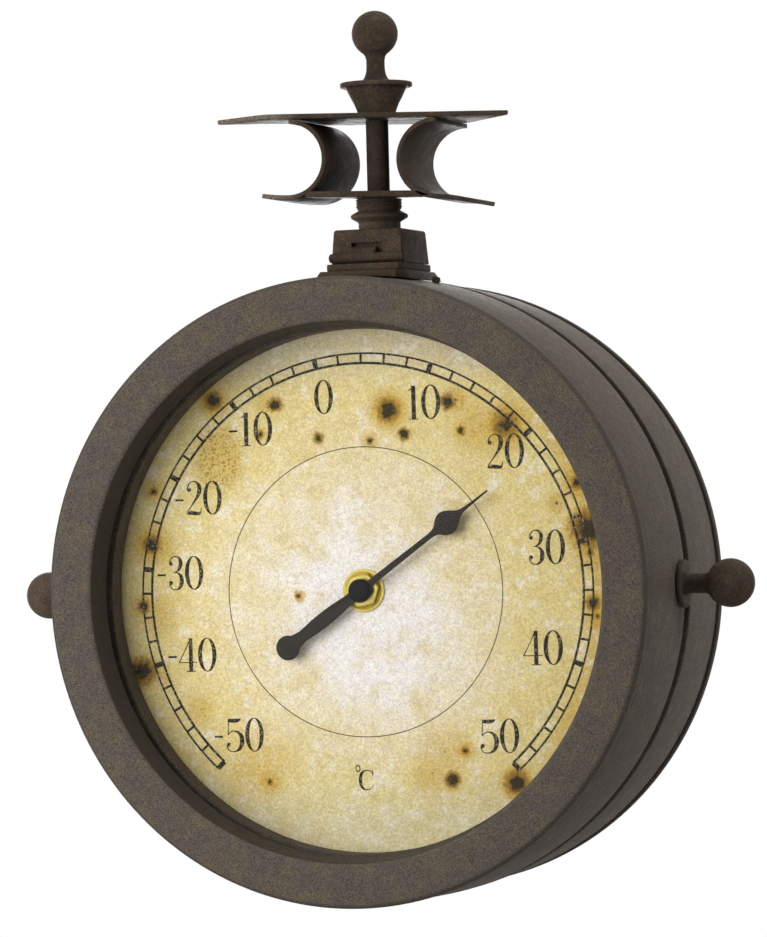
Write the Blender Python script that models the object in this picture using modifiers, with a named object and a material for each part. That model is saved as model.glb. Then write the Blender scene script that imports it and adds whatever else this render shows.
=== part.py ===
"""Garden clock on a scroll bracket: a double-sided drum, thermometer face to -Y, clock face to +Y.

Metres, +Z up. The origin is on the post axis, level with the top of the bracket's upper plate.
Lengths that end in depth are counted inwards from the face plane of a case half.
"""

import math

import bmesh
import bpy
from mathutils import Matrix, Vector

# Fits
GAP = 0.0003
RUNNING_GAP = 0.0003
OVERRUN = 0.004
MERGE_DISTANCE = 0.000001

# Facets of the large case rings, of turned pieces, of small round pieces, and of one rounded corner
RING_FACETS = 48
HIDDEN_FACETS = 36
TURN_FACETS = 20
SMALL_FACETS = 16
CORNER_STEPS = 3
BALL_STEPS = 8
BEND_STEPS = 16
SHARP_ANGLE = math.radians(35)

# Case: two drum halves that meet at a recessed seam, each closed by a bezel
CASE_DEPTH = 0.1390
RIM_RADIUS = 0.1510
DRUM_FLARE = 0.0027
DRUM_SHOULDER_DROP = 0.0014
DRUM_SHOULDER_DEPTH = 0.0140
DRUM_WALL = 0.0025
RIM_EDGE_ROUND = 0.0008
FRONT_RIM_SETBACK = 0.0048
REAR_RIM_SETBACK = 0.0040
SLEEVE_DROP = 0.0037
SLEEVE_LENGTH = 0.0190
SLEEVE_ROOT_LENGTH = 0.0060
SEAM_FLOOR_STEP = 0.0003
LUG_HALF_HEIGHT = 0.0106

# Bezel: face plate, spigot into the drum, and bore skirt that holds the glass and the dial
BEZEL_INSET = 0.0010
BEZEL_FACE_WIDTH = 0.0217
BEZEL_THICKNESS = 0.0068
BEZEL_PLATE = 0.0030
BEZEL_EDGE_ROUND = 0.0045
BEZEL_BACK_ROUND = 0.0008
BEZEL_LIP_ROUND = 0.0025
BEZEL_SPIGOT_LENGTH = 0.0060
BEZEL_SPIGOT_WALL = 0.0022
BORE_TAPER = 0.0015
GLASS_SEAT_DEPTH = 0.0165
REBATE_STEP = 0.0027
STACK_GAP = 0.0005
SKIRT_WALL = 0.0022
GASKET_THICKNESS = 0.0010
GASKET_WIDTH = 0.0022
GLASS_THICKNESS = 0.0030
DIAL_DEPTH = 0.0333
DIAL_THICKNESS = 0.0010
SPACER_LIP = 0.0027
RETAINER_THICKNESS = 0.0020
RETAINER_WIDTH = 0.0080

# Bracket, from the top plate down
PLATE_THICKNESS = 0.0023
PLATE_DEPTH = 0.0505
PLATE_FRONT_HALF = 0.0745
PLATE_BACK_HALF = 0.0375
POST_LENGTH = 0.0360
POST_RADIUS = 0.0055
ROD_RADIUS = 0.0030
STRIP_THICKNESS = 0.0021
SCROLL_APEX = 0.0177
LEFT_LEG_END = 0.0502
LEFT_LEG_LIFT = 0.0026
RIGHT_LEG_END = 0.0510
RIGHT_LEG_LIFT = -0.0030

# Finial, heights above the upper plate
BALL_RADIUS = 0.0113
BALL_HEIGHT = 0.0398
NECK_RADIUS = 0.0045
NECK_HEIGHT = 0.0240
NECK_FOOT_RADIUS = 0.0076
FLANGE_RADIUS = 0.0177
FLANGE_TOP_HEIGHT = 0.0164
FLANGE_THICKNESS = 0.0029
FLANGE_ROUND = 0.0009
CONE_TOP_RADIUS = 0.0151
CONE_FOOT_RADIUS = 0.0090
FINIAL_BORE_DEPTH = 0.0150

# Swivel collar under the lower plate
COLLAR_HEIGHT = 0.0160
COLLAR_RING_RADIUS = 0.0117
COLLAR_WAIST_RADIUS = 0.0108
COLLAR_RIDGES = 3
COLLAR_RIDGE_DEPTH = 0.0006
COLLAR_BAND_HEIGHT = 0.0048
COLLAR_BULGE_RADIUS = 0.0154
COLLAR_BULGE_DEPTH = 0.0084
COLLAR_BULGE_RISE = 0.0030
COLLAR_BULGE_ROUND = 0.0012

# Hanger on top of the drum
BLOCK_WIDTH = 0.0352
BLOCK_TAPER = 0.0009
BLOCK_DEPTH = 0.0390
BLOCK_HEIGHT = 0.0155
BLOCK_ROUND = 0.0025
SLOT_WIDTH = 0.0160
SLOT_HEIGHT = 0.0052
SLOT_DEPTH = 0.0030
SLOT_DROP = 0.0055
TONGUE_WIDTH = 0.0110
TONGUE_HEIGHT = 0.0034
NUT_POCKET_RADIUS = 0.0085
NUT_POCKET_HEIGHT = 0.0075
SWIVEL_NUT_RADIUS = 0.0062
SWIVEL_NUT_HEIGHT = 0.0050
ROD_TAIL_LENGTH = 0.0010
CROSSBAR_RADIUS = 0.00225
CROSSBAR_LENGTH = 0.0367
CROSSBAR_HEIGHT = 0.0026
BASE_WIDTH = 0.0385
BASE_RISE = 0.0067
BASE_ROUND = 0.0008
SADDLE_THICKNESS = 0.0015
SADDLE_HALF_WIDTH = 0.0230
SADDLE_FRONT = 0.0285
SADDLE_SCREW_OFFSET = 0.0315
SADDLE_SCREW_SETBACK = 0.0100
SCREW_HEAD_RADIUS = 0.0019
SCREW_HEAD_HEIGHT = 0.0027
SCREW_HEAD_ROUND = 0.0005
SCREW_SHANK_RADIUS = 0.0011
SCREW_REACH = 0.0032

# Side knobs, through the front drum and its mate's sleeve
KNOB_SETBACK = 0.0105
KNOB_BALL_RADIUS = 0.0116
KNOB_BALL_OFFSET = 0.0234
KNOB_NECK_RADIUS = 0.0047
KNOB_STEM_RADIUS = 0.0053
KNOB_FLANGE_RADIUS = 0.0115
KNOB_FLANGE_THICKNESS = 0.0016
KNOB_FLANGE_ROUND = 0.0006
KNOB_THREAD_RADIUS = 0.0030
KNOB_THREAD_LENGTH = 0.0130
KNOB_NOTCH_CLEARANCE = 0.0007
CLAMP_NUT_RADIUS = 0.0080
CLAMP_NUT_HEIGHT = 0.0040
CLAMP_NUT_SEAT = 0.0007

# Thermometer unit behind the front dial
CAN_RADIUS = 0.0300
CAN_WALL = 0.0010
CAN_DEPTH = 0.0140
BUSH_RADIUS = 0.0042
BUSH_REACH = 0.0036
ARBOR_RADIUS = 0.0013
ARBOR_TAIL = 0.0100
WASHER_RADIUS = 0.0098
WASHER_THICKNESS = 0.0008
NUT_RADIUS = 0.0070
NUT_THICKNESS = 0.0020
COIL_INNER_RADIUS = 0.0045
COIL_OUTER_RADIUS = 0.0215
COIL_TURNS = 3
COIL_STEPS_PER_TURN = 24
COIL_WIDTH = 0.0060
COIL_THICKNESS = 0.0008
COIL_POST_RADIUS = 0.0015
COIL_STAND_OFF = 0.0025

# Thermometer pointer, lengths from its axis
POINTER_ANGLE = math.radians(36.3)
POINTER_THICKNESS = 0.0010
POINTER_LIFT = 0.0050
POINTER_TIP = 0.0786
POINTER_TIP_HALF = 0.0003
POINTER_DROP = 0.0545
POINTER_DROP_LENGTH = 0.0110
POINTER_DROP_HALF = 0.0054
POINTER_SHAFT_HALF = 0.0013
POINTER_TAIL_HALF = 0.0036
POINTER_TAIL_DISC = 0.0462
POINTER_TAIL_DISC_RADIUS = 0.0060
POINTER_HUB_RADIUS = 0.0046
CAP_RADIUS = 0.0050
CAP_HEIGHT = 0.0024
CAP_ROUND = 0.0012

# Clock unit behind the rear dial
MOVEMENT_WIDTH = 0.0560
MOVEMENT_DEPTH = 0.0165
MOVEMENT_ROUND = 0.0015
CLOCK_BUSH_RADIUS = 0.0042
HOUR_PIPE_RADIUS = 0.0027
HOUR_PIPE_WALL = 0.0009
HAND_THICKNESS = 0.0008
HOUR_HAND_LIFT = 0.0042
MINUTE_HAND_LIFT = 0.0060
HAND_PIPE_TAIL = 0.0080
HOUR_HAND_LENGTH = 0.0620
HOUR_HAND_HALF = 0.0085
HOUR_HAND_TAIL = 0.0160
MINUTE_HAND_LENGTH = 0.0960
MINUTE_HAND_HALF = 0.0060
MINUTE_HAND_TAIL = 0.0200
HAND_SHAFT_HALF = 0.0017
HAND_TIP_HALF = 0.0004
HAND_HUB_RADIUS = 0.0062
HOUR_HAND_ANGLE = math.radians(145)
MINUTE_HAND_ANGLE = math.radians(30)
BATTERY_RADIUS = 0.0071
BATTERY_LENGTH = 0.0490
BATTERY_NUB_RADIUS = 0.0026
BATTERY_NUB_LENGTH = 0.0012
BATTERY_EDGE_ROUND = 0.0006
BATTERY_DROP = 0.0180
BATTERY_END_ROOM = 0.0010
BATTERY_BED = 0.0012
CONTACT_THICKNESS = 0.0005
CONTACT_WIDTH = 0.0080
CONTACT_HEIGHT = 0.0100
SET_WHEEL_RADIUS = 0.0080
SET_WHEEL_TEETH = 20
SET_WHEEL_TOOTH_DEPTH = 0.0006
SET_WHEEL_THICKNESS = 0.0030
SET_WHEEL_OFFSET = 0.0140
SET_WHEEL_RISE = 0.0120
SET_WHEEL_RECESS = 0.0012

# Finishes: colour, roughness, metallic
ANTIQUE_BROWN = ((0.115, 0.095, 0.080), 0.55, 0.35)
DARK_BROWN = ((0.060, 0.047, 0.037), 0.50, 0.40)
BLACK_PAINT = ((0.015, 0.014, 0.013), 0.45, 0.10)
BRASS = ((0.78, 0.55, 0.17), 0.25, 1.0)
STEEL = ((0.55, 0.55, 0.54), 0.35, 1.0)
AGED_CREAM = ((0.74, 0.66, 0.45), 0.60, 0.0)
CLEAR_GLASS = ((0.90, 0.95, 0.95), 0.02, 0.0)
BLACK_RUBBER = ((0.02, 0.02, 0.02), 0.80, 0.0)
BLACK_PLASTIC = ((0.03, 0.03, 0.03), 0.50, 0.0)
CELL_JACKET = ((0.10, 0.12, 0.16), 0.40, 0.2)

# Worked out from the sizes above
FACE_PLANE = CASE_DEPTH / 2
DRUM_RADIUS = RIM_RADIUS - DRUM_FLARE
DRUM_SHOULDER_RADIUS = RIM_RADIUS - DRUM_SHOULDER_DROP
SLEEVE_RADIUS = RIM_RADIUS - SLEEVE_DROP
BEZEL_RADIUS = RIM_RADIUS - BEZEL_INSET
BORE_RADIUS = BEZEL_RADIUS - BEZEL_FACE_WIDTH
SPACER_BORE_RADIUS = BORE_RADIUS - SPACER_LIP
DRUM_START_DEPTH = BEZEL_THICKNESS + GAP
FRONT_RIM_DEPTH = FACE_PLANE - FRONT_RIM_SETBACK
REAR_RIM_DEPTH = FACE_PLANE - REAR_RIM_SETBACK
LUG_DEPTH = FACE_PLANE + FRONT_RIM_SETBACK - GAP
SLEEVE_TIP_DEPTH = FACE_PLANE + SLEEVE_LENGTH
SLEEVE_INNER_RADIUS = SLEEVE_RADIUS - DRUM_WALL
SPIGOT_RADIUS = DRUM_RADIUS - DRUM_WALL - GAP
REBATE_RADIUS = BORE_RADIUS + REBATE_STEP
STACK_RADIUS = REBATE_RADIUS - STACK_GAP
GASKET_DEPTH = GLASS_SEAT_DEPTH + GAP
GLASS_DEPTH = GASKET_DEPTH + GASKET_THICKNESS + GAP
SPACER_DEPTH = GLASS_DEPTH + GLASS_THICKNESS + GAP
RETAINER_DEPTH = DIAL_DEPTH + DIAL_THICKNESS + GAP
SKIRT_DEPTH = RETAINER_DEPTH + RETAINER_THICKNESS
UNIT_DEPTH = DIAL_DEPTH + DIAL_THICKNESS + GAP

ROD_BORE_RADIUS = ROD_RADIUS + GAP
UPPER_PLATE_BOTTOM = -PLATE_THICKNESS
LOWER_PLATE_TOP = UPPER_PLATE_BOTTOM - POST_LENGTH
LOWER_PLATE_BOTTOM = LOWER_PLATE_TOP - PLATE_THICKNESS
COLLAR_TOP = LOWER_PLATE_BOTTOM - GAP
COLLAR_BOTTOM = COLLAR_TOP - COLLAR_HEIGHT
BLOCK_TOP = COLLAR_BOTTOM - GAP
BLOCK_BOTTOM = BLOCK_TOP - BLOCK_HEIGHT
BASE_TOP = BLOCK_BOTTOM - GAP
CASE_Z = BASE_TOP - BASE_RISE - RIM_RADIUS
SADDLE_INNER_RADIUS = RIM_RADIUS + GAP
SADDLE_OUTER_RADIUS = SADDLE_INNER_RADIUS + SADDLE_THICKNESS
SCREW_SEAT_RADIUS = RIM_RADIUS * math.cos(math.pi / RING_FACETS) + GAP
CROSSBAR_Y = -BLOCK_DEPTH / 2 - GAP - CROSSBAR_RADIUS
BASE_FRONT_Y = CROSSBAR_Y - CROSSBAR_RADIUS

SCROLL_TOP = UPPER_PLATE_BOTTOM - GAP - STRIP_THICKNESS / 2
SCROLL_LOW = LOWER_PLATE_BOTTOM - GAP - STRIP_THICKNESS / 2
SCROLL_RADIUS = (SCROLL_TOP - SCROLL_LOW) / 2
SCROLL_MIDDLE = (SCROLL_TOP + SCROLL_LOW) / 2
SCROLL_CENTRE = SCROLL_APEX + SCROLL_RADIUS
NUT_POCKET_TOP = BLOCK_BOTTOM + NUT_POCKET_HEIGHT

parts = None
cutters = None


def clear_scene():
    for obj in list(bpy.data.objects):
        bpy.data.objects.remove(obj, do_unlink=True)


def new_collection(name):
    collection = bpy.data.collections.new(name)
    bpy.context.scene.collection.children.link(collection)
    return collection


def facing(direction, place=(0, 0, 0)):
    """Local +Z points along the direction, and a face seen from there has local +Y up."""
    turns = {
        "up": Matrix.Identity(4),
        "front": Matrix(((1, 0, 0, 0), (0, 0, -1, 0), (0, 1, 0, 0), (0, 0, 0, 1))),
        "rear": Matrix(((-1, 0, 0, 0), (0, 0, 1, 0), (0, 1, 0, 0), (0, 0, 0, 1))),
        "right": Matrix(((0, 0, 1, 0), (1, 0, 0, 0), (0, 1, 0, 0), (0, 0, 0, 1))),
        "left": Matrix(((0, 0, -1, 0), (-1, 0, 0, 0), (0, 1, 0, 0), (0, 0, 0, 1))),
    }
    return Matrix.Translation(Vector(place)) @ turns[direction]


def half_place(direction, depth=0.0):
    """The centre of a case half's face plane, or a plane that lies deeper in it."""
    side = -1 if direction == "front" else 1
    return facing(direction, (0, side * (FACE_PLANE - depth), CASE_Z))


def give_finish(obj, finish):
    colour, roughness, metallic = finish
    material = bpy.data.materials.new(obj.name + "_finish")
    material.use_nodes = True
    shader = material.node_tree.nodes["Principled BSDF"]
    shader.inputs["Base Color"].default_value = (*colour, 1)
    shader.inputs["Roughness"].default_value = roughness
    shader.inputs["Metallic"].default_value = metallic
    material.diffuse_color = (*colour, 1)
    obj.data.materials.append(material)


def add_object(name, data, place, finish=None):
    """A part when it has a finish, and otherwise a cutter, which isn't rendered."""
    obj = bpy.data.objects.new(name, data)
    obj.matrix_world = place
    if finish:
        parts.objects.link(obj)
        give_finish(obj, finish)
    else:
        cutters.objects.link(obj)
        obj.hide_render = True
        obj.display_type = "WIRE"
    return obj


def arc(centre, radius, start, end, steps):
    """Points of an arc in the plane, from the start angle to the end angle."""
    angles = [start + (end - start) * i / steps for i in range(steps + 1)]
    return [(centre[0] + radius * math.cos(a), centre[1] + radius * math.sin(a)) for a in angles]


def rounded(corners, steps=CORNER_STEPS):
    """A closed outline from (x, y) or (x, y, radius) corners, with each radius as an arc."""
    points = []
    for i, corner in enumerate(corners):
        here = Vector(corner[:2])
        if len(corner) == 2:
            points.append(tuple(here))
            continue
        before = Vector(corners[i - 1][:2]) - here
        after = Vector(corners[(i + 1) % len(corners)][:2]) - here
        half = before.angle(after) / 2
        reach = min(corner[2] / math.tan(half), before.length / 2, after.length / 2)
        radius = reach * math.tan(half)
        centre = here + (before.normalized() + after.normalized()).normalized() * (radius / math.sin(half))
        first = here + before.normalized() * reach - centre
        last = here + after.normalized() * reach - centre
        start = math.atan2(first.y, first.x)
        sweep = math.remainder(math.atan2(last.y, last.x) - start, math.tau)
        points += arc(centre, radius, start, start + sweep, steps)
    return points


def turned(name, profile, place, facets, finish=None):
    """A profile of (radius, height) points turned about local Z. Off the axis it is a closed ring."""
    mesh = bpy.data.meshes.new(name)
    shape = bmesh.new()
    verts = [shape.verts.new((radius, 0, height)) for radius, height in profile]
    for a, b in zip(verts, verts[1:]):
        shape.edges.new((a, b))
    if profile[0][0] > 0:
        shape.edges.new((verts[-1], verts[0]))
    shape.to_mesh(mesh)
    shape.free()
    obj = add_object(name, mesh, place, finish)
    screw = obj.modifiers.new("Turn", "SCREW")
    screw.steps = facets
    screw.render_steps = facets
    screw.use_merge_vertices = True
    screw.merge_threshold = MERGE_DISTANCE
    return obj


def ring(name, inner, outer, thickness, place, facets, finish=None):
    """A flat ring whose top face lies at the place and whose body lies below it."""
    profile = [(inner, 0), (outer, 0), (outer, -thickness), (inner, -thickness)]
    return turned(name, profile, place, facets, finish)


def rod(name, radius, top, bottom, place, facets, finish=None):
    """A plain round bar along local Z."""
    profile = [(0, top), (radius, top), (radius, bottom), (0, bottom)]
    return turned(name, profile, place, facets, finish)


def box(name, low, high, finish=None, rounding=0.0, taper=0.0):
    """A box between two corners, narrower in X at the top by the taper, with its edges rounded."""
    bpy.ops.mesh.primitive_cube_add(size=1)
    obj = bpy.context.active_object
    mesh = obj.data
    bpy.data.objects.remove(obj)
    mesh.name = name
    low, high = Vector(low), Vector(high)
    size = high - low
    shape = bmesh.new()
    shape.from_mesh(mesh)
    bmesh.ops.scale(shape, vec=size, verts=shape.verts)
    for vert in shape.verts:
        if vert.co.z > 0:
            vert.co.x -= math.copysign(taper / 2, vert.co.x)
    if rounding:
        lower = [e for e in shape.edges if all(v.co.z < 0 for v in e.verts)]
        upper = [e for e in shape.edges if e not in lower]
        bmesh.ops.bevel(shape, geom=upper, offset=rounding, segments=2, profile=0.5, affect="EDGES")
    shape.to_mesh(mesh)
    shape.free()
    return add_object(name, mesh, Matrix.Translation((low + high) / 2), finish)


def flat(name, outlines, thickness, place, finish):
    """A flat piece from a closed outline and its holes, centred on the place's local XY plane."""
    curve = bpy.data.curves.new(name, "CURVE")
    curve.dimensions = "2D"
    curve.fill_mode = "BOTH"
    curve.extrude = thickness / 2
    for outline in outlines:
        spline = curve.splines.new("POLY")
        spline.points.add(len(outline) - 1)
        spline.use_cyclic_u = True
        for point, (x, y) in zip(spline.points, outline):
            point.co = (x, y, 0, 1)
    guide = bpy.data.objects.new(name + "_outline", curve)
    cutters.objects.link(guide)
    bpy.context.view_layer.update()
    mesh = bpy.data.meshes.new_from_object(guide.evaluated_get(bpy.context.evaluated_depsgraph_get()))
    bpy.data.objects.remove(guide)
    shape = bmesh.new()
    shape.from_mesh(mesh)
    bmesh.ops.remove_doubles(shape, verts=shape.verts, dist=MERGE_DISTANCE)
    bmesh.ops.recalc_face_normals(shape, faces=shape.faces)
    shape.to_mesh(mesh)
    shape.free()
    mesh.name = name
    return add_object(name, mesh, place, finish)


def circle(radius, facets=SMALL_FACETS):
    return arc((0, 0), radius, 0, math.tau, facets)[:-1]


def strip(name, path, width, thickness, place, finish):
    """Bent strip metal: a path in the XZ plane, drawn out along Y and thickened about the path."""
    mesh = bpy.data.meshes.new(name)
    shape = bmesh.new()
    verts = [shape.verts.new((x, -width / 2, z)) for x, z in path]
    edges = [shape.edges.new(pair) for pair in zip(verts, verts[1:])]
    drawn = bmesh.ops.extrude_edge_only(shape, edges=edges)["geom"]
    moved = [v for v in drawn if isinstance(v, bmesh.types.BMVert)]
    bmesh.ops.translate(shape, verts=moved, vec=(0, width, 0))
    shape.to_mesh(mesh)
    shape.free()
    obj = add_object(name, mesh, place, finish)
    solid = obj.modifiers.new("Metal", "SOLIDIFY")
    solid.thickness = thickness
    solid.offset = 0
    solid.use_even_offset = True
    return obj


def cut(obj, cutter):
    boolean = obj.modifiers.new("Cut " + cutter.name, "BOOLEAN")
    boolean.operation = "DIFFERENCE"
    boolean.object = cutter


def apply_and_smooth(obj):
    """Gives the object its evaluated mesh, with smooth curved faces and sharp corners."""
    graph = bpy.context.evaluated_depsgraph_get()
    mesh = bpy.data.meshes.new_from_object(obj.evaluated_get(graph))
    mesh.name = obj.name
    obj.modifiers.clear()
    obj.data = mesh
    mesh.shade_smooth()
    mesh.set_sharp_from_angle(angle=SHARP_ANGLE)


def make_upper_plate():
    back = PLATE_DEPTH / 2
    outline = [
        (-PLATE_FRONT_HALF, -back),
        (PLATE_FRONT_HALF, -back),
        (PLATE_BACK_HALF, back),
        (-PLATE_BACK_HALF, back),
    ]
    place = facing("up", (0, 0, -PLATE_THICKNESS / 2))
    flat("upper_plate", [outline, circle(ROD_BORE_RADIUS)], PLATE_THICKNESS, place, DARK_BROWN)


def make_lower_plate():
    """It ends just short of the scrolls' round backs."""
    reach = math.sqrt((SCROLL_RADIUS + STRIP_THICKNESS / 2) ** 2 - (LOWER_PLATE_TOP - SCROLL_MIDDLE) ** 2)
    side = SCROLL_CENTRE - reach - GAP
    back = PLATE_DEPTH / 2
    outline = [(-side, -back), (side, -back), (side, back), (-side, back)]
    place = facing("up", (0, 0, LOWER_PLATE_BOTTOM + PLATE_THICKNESS / 2))
    flat("lower_plate", [outline, circle(ROD_BORE_RADIUS)], PLATE_THICKNESS, place, DARK_BROWN)


def make_scroll(name, side, leg_end, leg_lift):
    """A half round of strip that bulges to the post, with a leg that runs out below."""
    half_round = arc((-SCROLL_CENTRE, SCROLL_MIDDLE), SCROLL_RADIUS, math.pi / 2, -math.pi / 2, BEND_STEPS)
    leg = leg_end - SCROLL_CENTRE
    lift_shares = ((0.35, 0.05), (0.7, 0.4), (1.0, 1.0))
    tail = [(-SCROLL_CENTRE - leg * run, SCROLL_LOW + leg_lift * rise) for run, rise in lift_shares]
    path = [(side * x, z) for x, z in half_round + tail]
    strip(name, path, PLATE_DEPTH, STRIP_THICKNESS, facing("up"), DARK_BROWN)


def make_post():
    bottom, top = LOWER_PLATE_TOP + GAP, UPPER_PLATE_BOTTOM - GAP
    place = facing("up", (0, 0, top))
    ring("spacer_post", ROD_BORE_RADIUS, POST_RADIUS, top - bottom, place, TURN_FACETS, DARK_BROWN)


def make_tie_rod():
    top = FINIAL_BORE_DEPTH - GAP
    bottom = NUT_POCKET_TOP - GAP - SWIVEL_NUT_HEIGHT - ROD_TAIL_LENGTH
    rod("tie_rod", ROD_RADIUS, top, bottom, facing("up"), TURN_FACETS, STEEL)


def make_finial():
    """Ball, neck, flange and cone turned in one piece, with a blind bore for the rod."""
    ball_end = -math.acos(min(NECK_RADIUS * 1.3 / BALL_RADIUS, 1.0))
    profile = arc((0, BALL_HEIGHT), BALL_RADIUS, math.pi / 2, ball_end, BALL_STEPS)
    profile[0] = (0, BALL_HEIGHT + BALL_RADIUS)
    flare = NECK_FOOT_RADIUS - NECK_RADIUS
    foot = NECK_HEIGHT - FLANGE_TOP_HEIGHT
    profile.append((NECK_RADIUS, NECK_HEIGHT + foot / 3))
    flare_steps = 4
    for i in range(flare_steps + 1):
        turn = math.pi / 2 * i / flare_steps
        profile.append((NECK_RADIUS + flare * (1 - math.cos(turn)), NECK_HEIGHT - foot * math.sin(turn)))
    flange_bottom = FLANGE_TOP_HEIGHT - FLANGE_THICKNESS
    edge = [
        (NECK_FOOT_RADIUS, FLANGE_TOP_HEIGHT),
        (FLANGE_RADIUS, FLANGE_TOP_HEIGHT, FLANGE_ROUND),
        (FLANGE_RADIUS, flange_bottom, FLANGE_ROUND),
        (CONE_TOP_RADIUS, flange_bottom),
    ]
    profile += rounded(edge)[1:]
    profile += [
        (CONE_FOOT_RADIUS, GAP),
        (ROD_BORE_RADIUS, GAP),
        (ROD_BORE_RADIUS, FINIAL_BORE_DEPTH),
        (0, FINIAL_BORE_DEPTH),
    ]
    turned("top_finial", profile, facing("up"), TURN_FACETS, DARK_BROWN)


def make_collar():
    """A band of fine rings over a waist with one sharp bulge."""
    profile = [(ROD_BORE_RADIUS, COLLAR_TOP), (COLLAR_RING_RADIUS, COLLAR_TOP)]
    ridge = COLLAR_BAND_HEIGHT / COLLAR_RIDGES
    for i in range(COLLAR_RIDGES):
        base = COLLAR_TOP - ridge * i
        profile.append((COLLAR_RING_RADIUS, base - ridge / 2))
        profile.append((COLLAR_RING_RADIUS - COLLAR_RIDGE_DEPTH, base - ridge * 3 / 4))
        if i < COLLAR_RIDGES - 1:
            profile.append((COLLAR_RING_RADIUS, base - ridge))
    bulge = COLLAR_TOP - COLLAR_BULGE_DEPTH
    outline = [
        (COLLAR_WAIST_RADIUS, bulge + COLLAR_BULGE_RISE),
        (COLLAR_BULGE_RADIUS, bulge, COLLAR_BULGE_ROUND),
        (COLLAR_WAIST_RADIUS, bulge - COLLAR_BULGE_RISE),
        (COLLAR_WAIST_RADIUS, COLLAR_BOTTOM),
        (ROD_BORE_RADIUS, COLLAR_BOTTOM),
    ]
    profile += rounded(outline)
    turned("swivel_collar", profile, facing("up"), TURN_FACETS, DARK_BROWN)


def make_swivel_nut():
    middle = NUT_POCKET_TOP - GAP - SWIVEL_NUT_HEIGHT / 2
    outlines = [circle(SWIVEL_NUT_RADIUS, 6), circle(ROD_BORE_RADIUS)]
    flat("swivel_nut", outlines, SWIVEL_NUT_HEIGHT, facing("up", (0, 0, middle)), STEEL)


def make_hanger_block():
    """The foot that the collar turns on, with a bore, a pocket for the nut and a slot in front."""
    side, back = BLOCK_WIDTH / 2, BLOCK_DEPTH / 2
    low, high = (-side, -back, BLOCK_BOTTOM), (side, back, BLOCK_TOP)
    block = box("hanger_block", low, high, DARK_BROWN, BLOCK_ROUND, BLOCK_TAPER)
    bore_top = BLOCK_TOP + OVERRUN
    bore = rod("block_bore", ROD_BORE_RADIUS, bore_top, BLOCK_BOTTOM, facing("up"), SMALL_FACETS)
    pocket = rod(
        "nut_pocket", NUT_POCKET_RADIUS, NUT_POCKET_TOP, BLOCK_BOTTOM - OVERRUN, facing("up"), TURN_FACETS
    )
    slot_top = BLOCK_TOP - SLOT_DROP
    slot = box(
        "block_slot",
        (-SLOT_WIDTH / 2, -back - OVERRUN, slot_top - SLOT_HEIGHT),
        (SLOT_WIDTH / 2, -back + SLOT_DEPTH, slot_top),
    )
    for cutter in (bore, pocket, slot):
        cut(block, cutter)


def make_latch_tongue():
    front = -BLOCK_DEPTH / 2
    bottom = BLOCK_TOP - SLOT_DROP - SLOT_HEIGHT + GAP
    right = SLOT_WIDTH / 2 - GAP
    low = (right - TONGUE_WIDTH, front + GAP, bottom)
    high = (right, front + SLOT_DEPTH - GAP, bottom + TONGUE_HEIGHT)
    box("latch_tongue", low, high, DARK_BROWN)


def make_crossbar():
    """A round bar with domed ends across the foot of the block."""
    half = CROSSBAR_LENGTH / 2
    corners = [(0, half), (CROSSBAR_RADIUS, half, CROSSBAR_RADIUS / 2)]
    corners += [(CROSSBAR_RADIUS, -half, CROSSBAR_RADIUS / 2), (0, -half)]
    place = facing("right", (0, CROSSBAR_Y, BLOCK_BOTTOM + CROSSBAR_HEIGHT))
    turned("hanger_crossbar", rounded(corners), place, SMALL_FACETS, DARK_BROWN)


def saddle_cylinder(name, radius):
    """A cutter along Y around the case axis."""
    place = facing("front", (0, 0, CASE_Z))
    reach = FACE_PLANE + OVERRUN
    return rod(name, radius, reach, -reach, place, RING_FACETS * 2)


def make_hanger_base():
    side = BASE_WIDTH / 2
    low = (-side, BASE_FRONT_Y, CASE_Z + RIM_RADIUS - BASE_RISE)
    base = box("hanger_base", low, (side, BLOCK_DEPTH / 2, BASE_TOP), DARK_BROWN, BASE_ROUND)
    cut(base, saddle_cylinder("base_saddle", SADDLE_OUTER_RADIUS + GAP))


def screw_place(side):
    """The case axis under a screw on the drum's crown, with +Z out through the screw."""
    lean = math.asin(SADDLE_SCREW_OFFSET / SCREW_SEAT_RADIUS)
    return facing("up", (0, -SADDLE_SCREW_SETBACK, CASE_Z)) @ Matrix.Rotation(side * lean, 4, "Y")


def make_saddle():
    """Curved strap between the hanger and the drum."""
    middle = (SADDLE_INNER_RADIUS + SADDLE_OUTER_RADIUS) / 2
    spread = math.asin(SADDLE_HALF_WIDTH / middle)
    path = arc((0, 0), middle, math.pi / 2 - spread, math.pi / 2 + spread, BEND_STEPS)
    back = BLOCK_DEPTH / 2
    place = facing("up", (0, (back - SADDLE_FRONT) / 2, CASE_Z))
    strip("hanger_saddle", path, SADDLE_FRONT + back, SADDLE_THICKNESS, place, DARK_BROWN)


def make_saddle_screw(name, side):
    """A screw with a round head into the front drum, beside the strap."""
    seat = SCREW_SEAT_RADIUS
    top = seat + SCREW_HEAD_HEIGHT
    corners = [
        (0, top),
        (SCREW_HEAD_RADIUS, top, SCREW_HEAD_ROUND),
        (SCREW_HEAD_RADIUS, seat),
        (SCREW_SHANK_RADIUS, seat),
        (SCREW_SHANK_RADIUS, seat - SCREW_REACH),
        (0, seat - SCREW_REACH),
    ]
    turned(name, rounded(corners), screw_place(side), SMALL_FACETS, DARK_BROWN)


def knob_axis_cutter(name, radius):
    """A bar along X through both walls, on the knobs' axis."""
    reach = RIM_RADIUS + OVERRUN
    return rod(name, radius, reach, -reach, facing("right", (0, -KNOB_SETBACK, CASE_Z)), TURN_FACETS)


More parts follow.
